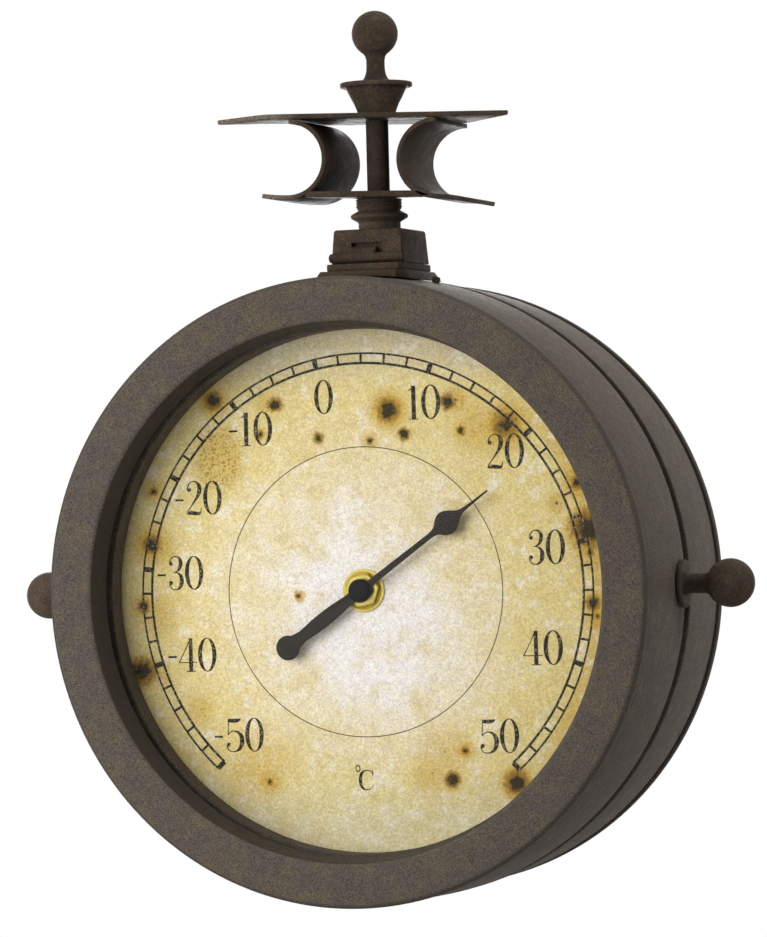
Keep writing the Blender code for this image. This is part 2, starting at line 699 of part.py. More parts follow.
def drum_wall(rim_depth):
    """Outer and inner corners of a drum wall that flares from its cove at the bezel to its rim."""
    outer = [
        (DRUM_RADIUS, -DRUM_START_DEPTH),
        (DRUM_SHOULDER_RADIUS, -DRUM_SHOULDER_DEPTH),
        (RIM_RADIUS, -rim_depth, RIM_EDGE_ROUND),
    ]
    inner = [
        (DRUM_SHOULDER_RADIUS - DRUM_WALL, -DRUM_SHOULDER_DEPTH),
        (DRUM_RADIUS - DRUM_WALL, -DRUM_START_DEPTH),
    ]
    return outer, inner


def make_front_drum():
    outer, inner = drum_wall(FRONT_RIM_DEPTH)
    corners = outer + [(RIM_RADIUS - DRUM_WALL, -FRONT_RIM_DEPTH)] + inner
    drum = turned("front_drum", rounded(corners), half_place("front"), RING_FACETS, ANTIQUE_BROWN)
    cut(drum, knob_axis_cutter("knob_holes", KNOB_THREAD_RADIUS + GAP))
    for side, name in ((-1, "left"), (1, "right")):
        hole = rod(
            "drum_hole_" + name,
            SCREW_SHANK_RADIUS + GAP,
            SADDLE_OUTER_RADIUS,
            DRUM_RADIUS - DRUM_WALL - OVERRUN,
            screw_place(side),
            SMALL_FACETS,
        )
        cut(drum, hole)


def seam_cutter():
    """A ring that lays the sleeve bare at the seam, but for a lug under each knob."""
    reach = RIM_RADIUS + OVERRUN
    inner = SLEEVE_RADIUS + SEAM_FLOOR_STEP
    length = LUG_DEPTH + OVERRUN - REAR_RIM_DEPTH
    place = half_place("rear", REAR_RIM_DEPTH)
    seam = ring("seam_recess", inner, reach, length, place, RING_FACETS)
    lugs = box(
        "lug_keep",
        (-reach - OVERRUN, -FRONT_RIM_SETBACK - OVERRUN * 2, CASE_Z - LUG_HALF_HEIGHT),
        (reach + OVERRUN, REAR_RIM_SETBACK + OVERRUN, CASE_Z + LUG_HALF_HEIGHT),
    )
    cut(seam, lugs)
    return seam


def make_rear_drum():
    """The same wall, with lugs at the knobs and a sleeve into the front drum, notched for threads."""
    outer, inner = drum_wall(LUG_DEPTH)
    root = REAR_RIM_DEPTH - SLEEVE_ROOT_LENGTH
    corners = outer + [
        (SLEEVE_RADIUS, -LUG_DEPTH),
        (SLEEVE_RADIUS, -SLEEVE_TIP_DEPTH),
        (SLEEVE_INNER_RADIUS, -SLEEVE_TIP_DEPTH),
        (SLEEVE_INNER_RADIUS, -root),
    ]
    drum = turned("rear_drum", rounded(corners + inner), half_place("rear"), RING_FACETS, ANTIQUE_BROWN)
    cut(drum, seam_cutter())
    half = KNOB_THREAD_RADIUS + KNOB_NOTCH_CLEARANCE
    reach = RIM_RADIUS + OVERRUN
    notch = box(
        "sleeve_notch",
        (-reach, -SLEEVE_LENGTH - OVERRUN, CASE_Z - half),
        (reach, -KNOB_SETBACK, CASE_Z + half),
    )
    cut(drum, notch)
    cut(drum, knob_axis_cutter("sleeve_notch_end", half))


def make_bezel(direction):
    """Face plate with rounded edges, a spigot into the drum, and a skirt with a seat for the glass."""
    inner_spigot = SPIGOT_RADIUS - BEZEL_SPIGOT_WALL
    spigot_end = BEZEL_THICKNESS + BEZEL_SPIGOT_LENGTH
    skirt_radius = REBATE_RADIUS + SKIRT_WALL
    corners = [
        (BORE_RADIUS, 0, BEZEL_LIP_ROUND),
        (BEZEL_RADIUS, 0, BEZEL_EDGE_ROUND),
        (BEZEL_RADIUS, -BEZEL_THICKNESS, BEZEL_BACK_ROUND),
        (SPIGOT_RADIUS, -BEZEL_THICKNESS),
        (SPIGOT_RADIUS, -spigot_end),
        (inner_spigot, -spigot_end),
        (inner_spigot, -BEZEL_PLATE),
        (skirt_radius, -BEZEL_PLATE),
        (skirt_radius, -SKIRT_DEPTH),
        (REBATE_RADIUS, -SKIRT_DEPTH),
        (REBATE_RADIUS, -GLASS_SEAT_DEPTH),
        (BORE_RADIUS - BORE_TAPER, -GLASS_SEAT_DEPTH),
    ]
    turned(direction + "_bezel", rounded(corners), half_place(direction), RING_FACETS, ANTIQUE_BROWN)


def make_face_stack(direction, dial_name, bush_radius):
    """Gasket, glass, spacer, dial and retainer, one behind the other in the skirt."""

    def stack_ring(name, inner, depth, thickness, finish, facets=HIDDEN_FACETS):
        ring(name, inner, STACK_RADIUS, thickness, half_place(direction, depth), facets, finish)

    gasket_bore = STACK_RADIUS - GASKET_WIDTH
    spacer_length = DIAL_DEPTH - GAP - SPACER_DEPTH
    stack_ring(direction + "_gasket", gasket_bore, GASKET_DEPTH, GASKET_THICKNESS, BLACK_RUBBER)
    spacer = direction + "_spacer"
    stack_ring(spacer, SPACER_BORE_RADIUS, SPACER_DEPTH, spacer_length, ANTIQUE_BROWN, RING_FACETS)
    stack_ring(dial_name, bush_radius + GAP, DIAL_DEPTH, DIAL_THICKNESS, AGED_CREAM)
    retainer_bore = STACK_RADIUS - RETAINER_WIDTH
    stack_ring(direction + "_retainer", retainer_bore, RETAINER_DEPTH, RETAINER_THICKNESS, BLACK_PLASTIC)
    place = half_place(direction, GLASS_DEPTH)
    rod(direction + "_glass", STACK_RADIUS, 0, -GLASS_THICKNESS, place, HIDDEN_FACETS, CLEAR_GLASS)


def make_knob(name, direction):
    """Ball, stem and flange turned in one piece with the thread that clamps the two halves."""
    seat = RIM_RADIUS + GAP
    ball = seat + KNOB_BALL_OFFSET
    flange_top = seat + KNOB_FLANGE_THICKNESS
    thread_end = seat - KNOB_THREAD_LENGTH
    ball_end = -math.acos(KNOB_STEM_RADIUS / KNOB_BALL_RADIUS)
    profile = arc((0, ball), KNOB_BALL_RADIUS, math.pi / 2, ball_end, BALL_STEPS)
    profile[0] = (0, ball + KNOB_BALL_RADIUS)
    corners = [
        (KNOB_NECK_RADIUS, flange_top),
        (KNOB_FLANGE_RADIUS, flange_top, KNOB_FLANGE_ROUND),
        (KNOB_FLANGE_RADIUS, seat),
        (KNOB_THREAD_RADIUS, seat),
        (KNOB_THREAD_RADIUS, thread_end),
        (0, thread_end),
    ]
    profile += rounded(corners)
    place = facing(direction, (0, -KNOB_SETBACK, CASE_Z))
    turned(name, profile, place, TURN_FACETS, DARK_BROWN)


def make_clamp_nut(name, direction):
    outer = SLEEVE_INNER_RADIUS - CLAMP_NUT_SEAT
    place = facing(direction, (0, -KNOB_SETBACK, CASE_Z))
    place = place @ Matrix.Translation((0, 0, outer - CLAMP_NUT_HEIGHT / 2))
    outlines = [circle(CLAMP_NUT_RADIUS, 6), circle(KNOB_THREAD_RADIUS + GAP)]
    flat(name, outlines, CLAMP_NUT_HEIGHT, place, STEEL)


def make_bush(name, direction, radius, bore, finish):
    """A brass sleeve through the dial, from the unit behind it to the nut in front."""
    top = BUSH_REACH
    bottom = -(DIAL_THICKNESS + GAP)
    ring(name, bore, radius, top - bottom, half_place(direction, DIAL_DEPTH - top), SMALL_FACETS, finish)


def make_dial_nut(prefix, direction, bush_radius):
    """A round washer and a hexagon nut on the bush."""
    washer_top = GAP + WASHER_THICKNESS
    place = half_place(direction, DIAL_DEPTH - washer_top)
    inner = bush_radius + GAP
    ring(prefix + "_washer", inner, WASHER_RADIUS, WASHER_THICKNESS, place, TURN_FACETS, BRASS)
    middle = washer_top + GAP + NUT_THICKNESS / 2
    outlines = [circle(NUT_RADIUS, 6), circle(inner)]
    flat(prefix + "_nut", outlines, NUT_THICKNESS, half_place(direction, DIAL_DEPTH - middle), BRASS)


def make_thermometer_can():
    """A cup behind the dial, open to the inside of the case."""
    floor = CAN_WALL
    corners = [
        (BUSH_RADIUS - RUNNING_GAP, 0),
        (CAN_RADIUS, 0, CAN_WALL),
        (CAN_RADIUS, -CAN_DEPTH),
        (CAN_RADIUS - CAN_WALL, -CAN_DEPTH),
        (CAN_RADIUS - CAN_WALL, -floor),
        (BUSH_RADIUS - RUNNING_GAP, -floor),
    ]
    place = half_place("front", UNIT_DEPTH + GAP)
    turned("thermometer_can", rounded(corners), place, TURN_FACETS * 2, STEEL)


def make_bimetal_coil():
    """A flat spiral of strip from the arbor out to its post."""
    steps = COIL_TURNS * COIL_STEPS_PER_TURN
    growth = (COIL_OUTER_RADIUS - COIL_INNER_RADIUS) / steps
    path = []
    for i in range(steps + 1):
        turn = math.tau * i / COIL_STEPS_PER_TURN
        radius = COIL_INNER_RADIUS + growth * i
        path.append((radius * math.cos(turn), radius * math.sin(turn)))
    middle = -FACE_PLANE + UNIT_DEPTH + GAP + CAN_WALL + COIL_STAND_OFF + COIL_WIDTH / 2
    place = facing("up", (0, middle, CASE_Z))
    strip("bimetal_coil", path, COIL_WIDTH, COIL_THICKNESS, place, STEEL)


def make_coil_post():
    """The pin that holds the coil's outer end, just outside it."""
    offset = COIL_OUTER_RADIUS + COIL_THICKNESS / 2 + GAP + COIL_POST_RADIUS
    floor_depth = UNIT_DEPTH + GAP + CAN_WALL + GAP
    place = half_place("front", floor_depth) @ Matrix.Translation((offset, 0, 0))
    length = COIL_STAND_OFF + COIL_WIDTH
    rod("coil_post", COIL_POST_RADIUS, 0, -length, place, SMALL_FACETS, STEEL)


def pointer_outline():
    """Tail disc, lens-shaped tail, hub, slim shaft, drop and needle tip, as one outline along +X."""
    disc = arc((-POINTER_TAIL_DISC, 0), POINTER_TAIL_DISC_RADIUS, math.pi, math.radians(35), 8)
    tail_shares = ((0.72, 0.86), (0.55, 1.0), (0.36, 0.95), (0.2, 0.75))
    tail = [(-POINTER_TAIL_DISC * run, POINTER_TAIL_HALF * width) for run, width in tail_shares]
    hub = arc((0, 0), POINTER_HUB_RADIUS, math.radians(150), math.radians(18), 6)
    shaft_end = POINTER_DROP - POINTER_DROP_LENGTH / 2
    drop_shares = ((-0.5, 0.24), (-0.28, 0.72), (-0.05, 1.0), (0.16, 0.92), (0.42, 0.55), (0.75, 0.2))
    drop = [
        (POINTER_DROP + POINTER_DROP_LENGTH * run, POINTER_DROP_HALF * width) for run, width in drop_shares
    ]
    upper = disc[1:] + tail + hub + [(shaft_end - POINTER_DROP_LENGTH / 2, POINTER_SHAFT_HALF)] + drop
    upper.append((POINTER_TIP, POINTER_TIP_HALF))
    lower = [(x, -y) for x, y in reversed(upper)]
    return upper + lower + disc[:1]


def make_pointer():
    centre = half_place("front", DIAL_DEPTH)
    hub_hole = circle(ARBOR_RADIUS + GAP)
    middle = Matrix.Translation((0, 0, POINTER_LIFT + POINTER_THICKNESS / 2))
    place = centre @ Matrix.Rotation(POINTER_ANGLE, 4, "Z") @ middle
    flat("thermometer_pointer", [pointer_outline(), hub_hole], POINTER_THICKNESS, place, BLACK_PAINT)
    arbor_top = POINTER_LIFT + POINTER_THICKNESS
    arbor_bottom = -(UNIT_DEPTH - DIAL_DEPTH + GAP + ARBOR_TAIL)
    rod("thermometer_arbor", ARBOR_RADIUS, arbor_top, arbor_bottom, centre, SMALL_FACETS, STEEL)
    make_cap("pointer_cap", centre, arbor_top)


def make_cap(name, centre, seat):
    """A domed cap on the end of a hand's arbor."""
    bottom = seat + GAP
    top = bottom + CAP_HEIGHT
    corners = [(0, top), (CAP_RADIUS, top, CAP_ROUND), (CAP_RADIUS, bottom), (0, bottom)]
    turned(name, rounded(corners), centre, TURN_FACETS, BLACK_PAINT)


def spade_outline(length, half, tail):
    """A spade hand along +X: rounded tail, hub, shaft, leaf and tip."""
    tail_end = arc((-tail, 0), HAND_SHAFT_HALF * 1.6, math.pi, math.pi / 3, 3)
    hub = arc((0, 0), HAND_HUB_RADIUS, math.radians(155), math.radians(25), 6)
    leaf_shares = ((0.55, 0.2), (0.6, 0.75), (0.66, 1.0), (0.73, 0.8), (0.82, 0.35), (0.9, 0.12))
    leaf = [(length * run, half * width) for run, width in leaf_shares]
    leaf[0] = (length * leaf_shares[0][0], HAND_SHAFT_HALF)
    upper = tail_end[1:] + hub + leaf + [(length, HAND_TIP_HALF)]
    lower = [(x, -y) for x, y in reversed(upper)]
    return upper + lower + tail_end[:1]


def make_hand(name, outline, lift, angle, bore):
    centre = half_place("rear", DIAL_DEPTH)
    middle = Matrix.Translation((0, 0, lift + HAND_THICKNESS / 2))
    place = centre @ Matrix.Rotation(angle, 4, "Z") @ middle
    flat(name, [outline, circle(bore)], HAND_THICKNESS, place, BLACK_PAINT)


def make_clock_hands():
    """Hour hand on its pipe, minute hand on the arbor inside it, and the cap that closes them."""
    centre = half_place("rear", DIAL_DEPTH)
    tail = -(UNIT_DEPTH - DIAL_DEPTH + HAND_PIPE_TAIL)
    arbor_bore = ARBOR_RADIUS + GAP
    pipe_top = HOUR_HAND_LIFT + HAND_THICKNESS
    pipe_bore = HOUR_PIPE_RADIUS - HOUR_PIPE_WALL
    pipe_place = half_place("rear", DIAL_DEPTH - pipe_top)
    ring("hour_pipe", pipe_bore, HOUR_PIPE_RADIUS, pipe_top - tail, pipe_place, SMALL_FACETS, BRASS)
    arbor_top = MINUTE_HAND_LIFT + HAND_THICKNESS
    rod("minute_arbor", ARBOR_RADIUS, arbor_top, tail, centre, SMALL_FACETS, STEEL)
    hour = spade_outline(HOUR_HAND_LENGTH, HOUR_HAND_HALF, HOUR_HAND_TAIL)
    make_hand("hour_hand", hour, HOUR_HAND_LIFT, HOUR_HAND_ANGLE, HOUR_PIPE_RADIUS + GAP)
    minute = spade_outline(MINUTE_HAND_LENGTH, MINUTE_HAND_HALF, MINUTE_HAND_TAIL)
    make_hand("minute_hand", minute, MINUTE_HAND_LIFT, MINUTE_HAND_ANGLE, arbor_bore)
    make_cap("hand_cap", centre, arbor_top)


def movement_front():
    """Y of the movement's face against the clock dial."""
    return FACE_PLANE - UNIT_DEPTH - GAP


def make_movement():
    """Square quartz movement with a bore for the hands, a battery bay and a recess for its set wheel."""
    side = MOVEMENT_WIDTH / 2
    front = movement_front()
    back = front - MOVEMENT_DEPTH
    low, high = (-side, back, CASE_Z - side), (side, front, CASE_Z + side)
    movement = box("movement_case", low, high, BLACK_PLASTIC, MOVEMENT_ROUND)
    bore_end = front - HAND_PIPE_TAIL - GAP - (UNIT_DEPTH - DIAL_DEPTH)
    place = facing("rear", (0, 0, CASE_Z))
    bore = rod("movement_bore", HOUR_PIPE_RADIUS + GAP, front + OVERRUN, bore_end, place, SMALL_FACETS)
    bay_end = (BATTERY_LENGTH + BATTERY_NUB_LENGTH) / 2 + BATTERY_END_ROOM
    bay_side = BATTERY_RADIUS + GAP
    bay_floor = back + MOVEMENT_DEPTH - BATTERY_BED
    bay = box(
        "battery_bay",
        (-bay_end, back - OVERRUN, CASE_Z - BATTERY_DROP - bay_side),
        (bay_end, bay_floor, CASE_Z - BATTERY_DROP + bay_side),
    )
    wheel_place = facing("front", (SET_WHEEL_OFFSET, back, CASE_Z + SET_WHEEL_RISE))
    recess = rod(
        "wheel_recess",
        SET_WHEEL_RADIUS + GAP + MOVEMENT_ROUND,
        OVERRUN,
        -SET_WHEEL_RECESS,
        wheel_place,
        TURN_FACETS,
    )
    for cutter in (bore, bay, recess):
        cut(movement, cutter)


def battery_axis_y():
    """The cell lies just above the floor of its bay."""
    return movement_front() - BATTERY_BED - GAP - BATTERY_RADIUS


def make_battery():
    half = BATTERY_LENGTH / 2
    shift = -BATTERY_NUB_LENGTH / 2
    corners = [
        (0, half + BATTERY_NUB_LENGTH),
        (BATTERY_NUB_RADIUS, half + BATTERY_NUB_LENGTH),
        (BATTERY_NUB_RADIUS, half),
        (BATTERY_RADIUS, half, BATTERY_EDGE_ROUND),
        (BATTERY_RADIUS, -half, BATTERY_EDGE_ROUND),
        (0, -half),
    ]
    profile = [(radius, height + shift) for radius, height in rounded(corners)]
    place = facing("right", (0, battery_axis_y(), CASE_Z - BATTERY_DROP))
    turned("battery", profile, place, TURN_FACETS, CELL_JACKET)


def make_contact(name, side):
    """A sprung plate at one end of the bay."""
    inner = (BATTERY_LENGTH + BATTERY_NUB_LENGTH) / 2 + GAP
    ends = sorted((side * inner, side * (inner + CONTACT_THICKNESS)))
    middle_y, middle_z = battery_axis_y(), CASE_Z - BATTERY_DROP
    low = (ends[0], middle_y - CONTACT_HEIGHT / 2, middle_z - CONTACT_WIDTH / 2)
    high = (ends[1], middle_y + CONTACT_HEIGHT / 2, middle_z + CONTACT_WIDTH / 2)
    box(name, low, high, STEEL)


def make_set_wheel():
    """A toothed thumb wheel in its recess, for setting the hands from inside."""
    outline = []
    for i in range(SET_WHEEL_TEETH * 4):
        tooth = SET_WHEEL_RADIUS if i % 4 < 2 else SET_WHEEL_RADIUS - SET_WHEEL_TOOTH_DEPTH
        turn = math.tau * i / (SET_WHEEL_TEETH * 4)
        outline.append((tooth * math.cos(turn), tooth * math.sin(turn)))
    face = movement_front() - MOVEMENT_DEPTH
    middle = face + SET_WHEEL_RECESS - GAP - SET_WHEEL_THICKNESS / 2
    place = facing("front", (SET_WHEEL_OFFSET, middle, CASE_Z + SET_WHEEL_RISE))
    flat("set_wheel", [outline], SET_WHEEL_THICKNESS, place, BLACK_PLASTIC)


def make_bracket():
    make_finial()
    make_upper_plate()
    make_scroll("scroll_left", 1, LEFT_LEG_END, LEFT_LEG_LIFT)
    make_scroll("scroll_right", -1, RIGHT_LEG_END, RIGHT_LEG_LIFT)
    make_lower_plate()
    make_post()
    make_tie_rod()
    make_collar()
    make_swivel_nut()


def make_hanger():
    make_hanger_block()
    make_latch_tongue()
    make_crossbar()
    make_hanger_base()
    make_saddle()
    make_saddle_screw("saddle_screw_left", -1)
    make_saddle_screw("saddle_screw_right", 1)


def make_front_half():
    make_front_drum()
    make_bezel("front")
    make_face_stack("front", "thermometer_dial", BUSH_RADIUS)
    for side in ("left", "right"):
        make_knob(side + "_knob", side)
        make_clamp_nut(side + "_clamp_nut", side)
    make_thermometer_can()
    make_bimetal_coil()
    make_coil_post()
    make_bush("thermometer_bush", "front", BUSH_RADIUS, ARBOR_RADIUS + RUNNING_GAP, BRASS)
    make_dial_nut("thermometer", "front", BUSH_RADIUS)
    make_pointer()


def make_rear_half():
    make_rear_drum()
    make_bezel("rear")
    make_face_stack("rear", "clock_dial", CLOCK_BUSH_RADIUS)
    make_movement()
    make_battery()
    make_contact("contact_plus", 1)
    make_contact("contact_minus", -1)
    make_set_wheel()
    make_bush("clock_bush", "rear", CLOCK_BUSH_RADIUS, HOUR_PIPE_RADIUS + RUNNING_GAP, BRASS)
    make_dial_nut("clock", "rear", CLOCK_BUSH_RADIUS)
    make_clock_hands()


def main():
    global parts, cutters
    clear_scene()
    parts = new_collection("garden_clock")
    cutters = new_collection("cutters")
    make_bracket()
    make_hanger()
    make_front_half()
    make_rear_half()
    bpy.context.view_layer.update()
    for obj in parts.objects:
        apply_and_smooth(obj)


main()
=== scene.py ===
"""Garden clock and thermometer on a scroll bracket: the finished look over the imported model.

Metres, +Z up. The thermometer face looks to -Y and the clock face to +Y. Lengths called depth
are counted inwards from the face plane of a case half, and dial sizes from the case axis.
"""

import math

import bmesh
import bpy
from mathutils import Matrix, Vector


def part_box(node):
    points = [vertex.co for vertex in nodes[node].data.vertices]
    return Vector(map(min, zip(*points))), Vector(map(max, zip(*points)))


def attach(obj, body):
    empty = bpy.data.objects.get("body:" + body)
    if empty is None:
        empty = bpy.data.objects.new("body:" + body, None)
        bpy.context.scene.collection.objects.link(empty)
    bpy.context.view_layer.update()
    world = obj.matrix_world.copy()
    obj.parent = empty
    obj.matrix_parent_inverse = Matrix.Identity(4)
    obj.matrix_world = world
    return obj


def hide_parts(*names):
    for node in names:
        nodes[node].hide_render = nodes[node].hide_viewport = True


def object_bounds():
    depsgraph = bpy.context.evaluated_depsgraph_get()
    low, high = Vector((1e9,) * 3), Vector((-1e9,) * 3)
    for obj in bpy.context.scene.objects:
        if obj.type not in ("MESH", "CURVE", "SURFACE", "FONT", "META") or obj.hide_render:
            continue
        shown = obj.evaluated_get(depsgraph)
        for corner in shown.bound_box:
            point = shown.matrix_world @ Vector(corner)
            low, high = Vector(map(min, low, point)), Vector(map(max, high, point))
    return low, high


bl_info = {
    "name": "Garden clock",
    "version": (1, 0, 0),
    "blender": (4, 5, 0),
    "location": "View3D > Sidebar > Garden clock",
    "description": "Builds the finished look of a two-faced garden clock around its packed model",
    "category": "Object",
}

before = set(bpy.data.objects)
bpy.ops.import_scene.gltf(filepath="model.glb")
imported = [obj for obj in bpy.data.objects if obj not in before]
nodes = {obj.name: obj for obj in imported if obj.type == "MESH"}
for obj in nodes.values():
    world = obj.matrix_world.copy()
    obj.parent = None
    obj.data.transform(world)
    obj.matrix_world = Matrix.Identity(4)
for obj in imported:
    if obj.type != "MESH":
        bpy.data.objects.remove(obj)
packed_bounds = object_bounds()

SEED = 0.0005
TINY = 0.000001
SMOOTH_ANGLE = math.radians(38)
UP, RIGHT, REAR = Vector((0, 0, 1)), Vector((1, 0, 0)), Vector((0, 1, 0))

# Places that every piece shares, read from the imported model
CASE_LOW, CASE_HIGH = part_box("front_bezel")
FACE_PLANE = -CASE_LOW.y
CASE_Z = (CASE_LOW.z + CASE_HIGH.z) / 2
BLOCK_LOW, BLOCK_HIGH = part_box("hanger_block")
KNOB_Y = (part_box("right_knob")[0].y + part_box("right_knob")[1].y) / 2

# Both halves of the case: the way that each faces and the body that it rides on
HALVES = (("front", "case"), ("rear", "clock_half"))

# Lengths that several pieces share
BEZEL_BORE = 0.1283  # radius of the window in each bezel
STACK_RADIUS = 0.1305  # glass, spacer and dial
SLEEVE = 0.1473  # outside radius of the sleeve in the seam
DRUM_RIM = 0.1510  # outside radius of each drum at the seam
DIAL_DEPTH = 0.0333  # from the face plane to the paper
INK = 0.00005  # height of the print
ROD_HOLE = 0.0033  # radius of the holes for the tie rod
PLATE_BACK = 0.02525  # half the depth of the bracket's plates and strips
PLATE_EDGE = 0.00045  # rounding of their edges


# ---------------------------------------------------------------- modelling by hand


def begin(name):
    """A new empty piece at the origin, open for editing."""
    bpy.ops.object.select_all(action="DESELECT")
    bpy.ops.object.add(type="MESH", location=(0, 0, 0))
    piece = bpy.context.object
    piece.name = piece.data.name = name
    bpy.ops.object.mode_set(mode="EDIT")
    return piece


def edited():
    """The mesh that is open for editing."""
    shape = bmesh.from_edit_mesh(bpy.context.object.data)
    shape.verts.ensure_lookup_table()
    return shape


def take(piece):
    """Makes a piece the active one, and the only one that is selected."""
    bpy.ops.object.select_all(action="DESELECT")
    piece.select_set(True)
    bpy.context.view_layer.objects.active = piece


def pick(test):
    """Selects the vertices whose place passes the test, and the edges and faces between them."""
    shape = edited()
    bpy.ops.mesh.select_all(action="DESELECT")
    for vert in shape.verts:
        vert.select = bool(test(vert.co))
    shape.select_flush(True)
    bmesh.update_edit_mesh(bpy.context.object.data)


def pick_from(first):
    """Selects the vertices from a number on, and the edges and faces between them."""
    shape = edited()
    for vert in shape.verts:
        vert.select = vert.index >= first
    shape.select_flush(True)
    bmesh.update_edit_mesh(bpy.context.object.data)


def extrude(way):
    bpy.ops.mesh.extrude_region_move(TRANSFORM_OT_translate={"value": way})


def draw(points, close=False):
    """A line drawn point by point. Closed, its last point is joined to its first."""
    before = len(edited().verts)
    points = [Vector(p) for p in points]
    bpy.ops.mesh.primitive_plane_add(size=SEED, location=points[0])
    bpy.ops.mesh.merge(type="CENTER")
    for here, there in zip(points, points[1:]):
        extrude(there - here)
    if close:
        shape = edited()
        ends = (shape.verts[before], shape.verts[-1])
        for vert in shape.verts:
            vert.select = vert in ends
        shape.select_flush(True)
        bpy.ops.mesh.edge_face_add()
    pick_from(before)


def close_shell():
    """Merges doubled points of the whole piece and turns its faces outwards."""
    bpy.ops.mesh.select_all(action="SELECT")
    bpy.ops.mesh.remove_doubles(threshold=TINY)
    bpy.ops.mesh.normals_make_consistent(inside=False)


def end_editing():
    """Leaves edit mode with smooth shading between the sharp edges."""
    bpy.ops.object.mode_set(mode="OBJECT")
    bpy.ops.object.shade_smooth_by_angle(angle=SMOOTH_ANGLE)


def turned(name, profile, centre, axis, steps):
    """A profile of (radius, height) points spun about an axis through the centre."""
    centre, axis = Vector(centre), Vector(axis)
    out = RIGHT if abs(axis.x) < 0.5 else REAR
    piece = begin(name)
    on_axis = profile[0][0] == 0 and profile[-1][0] == 0
    draw([centre + out * r + axis * h for r, h in profile], close=not on_axis)
    bpy.ops.mesh.spin(steps=steps, angle=math.tau, center=centre, axis=axis)
    close_shell()
    end_editing()
    return piece


def drawn_plate(name, outline, thickness, hole):
    """A flat outline of (x, y) points given its thickness downwards, with a hole at the origin."""
    piece = begin(name)
    draw([(x, y, 0) for x, y in outline])
    bpy.ops.mesh.edge_face_add()
    extrude((0, 0, -thickness))
    close_shell()
    bpy.ops.object.mode_set(mode="OBJECT")
    bore(piece, hole, thickness)
    return piece


def set_down(piece, place):
    """Puts a piece that was made about the origin at its place, in its mesh."""
    piece.matrix_world = place
    take(piece)
    bpy.ops.object.transform_apply(location=True, rotation=True, scale=True)


def copied(model, place):
    """A copy of a model, with a mesh of its own, set down at its place."""
    take(model)
    bpy.ops.object.duplicate()
    copy = bpy.context.object
    set_down(copy, place)
    return copy


def modify(piece, kind, **settings):
    """Adds one modifier and applies it."""
    take(piece)
    modifier = piece.modifiers.new("Finish", kind)
    for key, value in settings.items():
        setattr(modifier, key, value)
    bpy.ops.object.modifier_apply(modifier=modifier.name)


def soften(piece, width, segments=3, angle=math.radians(40)):
    """Rounds the sharp edges of a piece."""
    modify(piece, "BEVEL", width=width, segments=segments, limit_method="ANGLE", angle_limit=angle)


def cut(piece, cutter):
    """Cuts one piece out of another, and clears the cutter away."""
    modify(piece, "BOOLEAN", operation="DIFFERENCE", object=cutter, solver="EXACT")
    bpy.data.objects.remove(cutter, do_unlink=True)


def bore(piece, radius, depth):
    """A round hole through a plate that still lies about the origin."""
    cutter = turned(
        "bore", [(0, depth), (radius, depth), (radius, -depth * 2), (0, -depth * 2)], (0, 0, 0), UP, 48,
    )
    cut(piece, cutter)


def block(name, low, high):
    """A bar of stock between two corners, ready to be shaped."""
    low, high = (Vector([pick_end(a, b) for a, b in zip(low, high)]) for pick_end in (min, max))
    piece = begin(name)
    bpy.ops.mesh.primitive_cube_add(size=1, location=(low + high) / 2)
    bpy.ops.transform.resize(value=high - low, center_override=(low + high) / 2)
    bpy.ops.object.mode_set(mode="OBJECT")
    return piece


def smooth(piece):
    """Shades a piece smooth between its sharp edges."""
    take(piece)
    bpy.ops.object.shade_smooth_by_angle(angle=SMOOTH_ANGLE)


def dress(piece, material, body, slot, *replaced):
    """Gives a piece its material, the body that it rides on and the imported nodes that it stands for."""
    piece.data.materials.clear()
    piece.data.materials.append(material)
    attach(piece, body)
    if replaced:
        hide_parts(*replaced)
    return piece


def joined(pieces, name):
    """Several pieces made into one."""
    bpy.ops.object.select_all(action="DESELECT")
    for piece in pieces:
        piece.select_set(True)
    bpy.context.view_layer.objects.active = pieces[0]
    if len(pieces) > 1:
        bpy.ops.object.join()
    pieces[0].name = pieces[0].data.name = name
    return pieces[0]


def arc(centre, radius, start, end, steps):
    """Points of an arc in the plane, from one angle in degrees to another."""
    angles = [math.radians(start + (end - start) * i / steps) for i in range(steps + 1)]
    return [(centre[0] + radius * math.cos(a), centre[1] + radius * math.sin(a)) for a in angles]


def rounded(corners, steps=6):
    """An outline from (x, y) or (x, y, radius) corners, with each radius as an arc."""
    points = []
    for i, corner in enumerate(corners):
        here = Vector(corner[:2])
        if len(corner) == 2:
            points.append(tuple(here))
            continue
        before = Vector(corners[i - 1][:2]) - here
        after = Vector(corners[(i + 1) % len(corners)][:2]) - here
        half = before.angle(after) / 2
        reach = min(corner[2] / math.tan(half), before.length / 2, after.length / 2)
        radius = reach * math.tan(half)
        middle = here + (before.normalized() + after.normalized()).normalized() * (radius / math.sin(half))
        first = here + before.normalized() * reach - middle
        last = here + after.normalized() * reach - middle
        start, end = (math.atan2(way.y, way.x) for way in (first, last))
        sweep = math.degrees(math.remainder(end - start, math.tau))
        start = math.degrees(start)
        points += arc(middle, radius, start, start + sweep, steps)
    return points


def face_place(direction, depth=0.0, turn=0.0):
    """A plane of a case half: x to the right and y up for someone who looks at that face."""
    side = -1 if direction == "front" else 1
    turns = Matrix(((-side, 0, 0, 0), (0, 0, side, 0), (0, 1, 0, 0), (0, 0, 0, 1)))
    place = Matrix.Translation((0, side * (FACE_PLANE - depth), CASE_Z)) @ turns
    return place @ Matrix.Rotation(math.radians(turn), 4, "Z")


def outwards(direction):
    return Vector((0, -1 if direction == "front" else 1, 0))


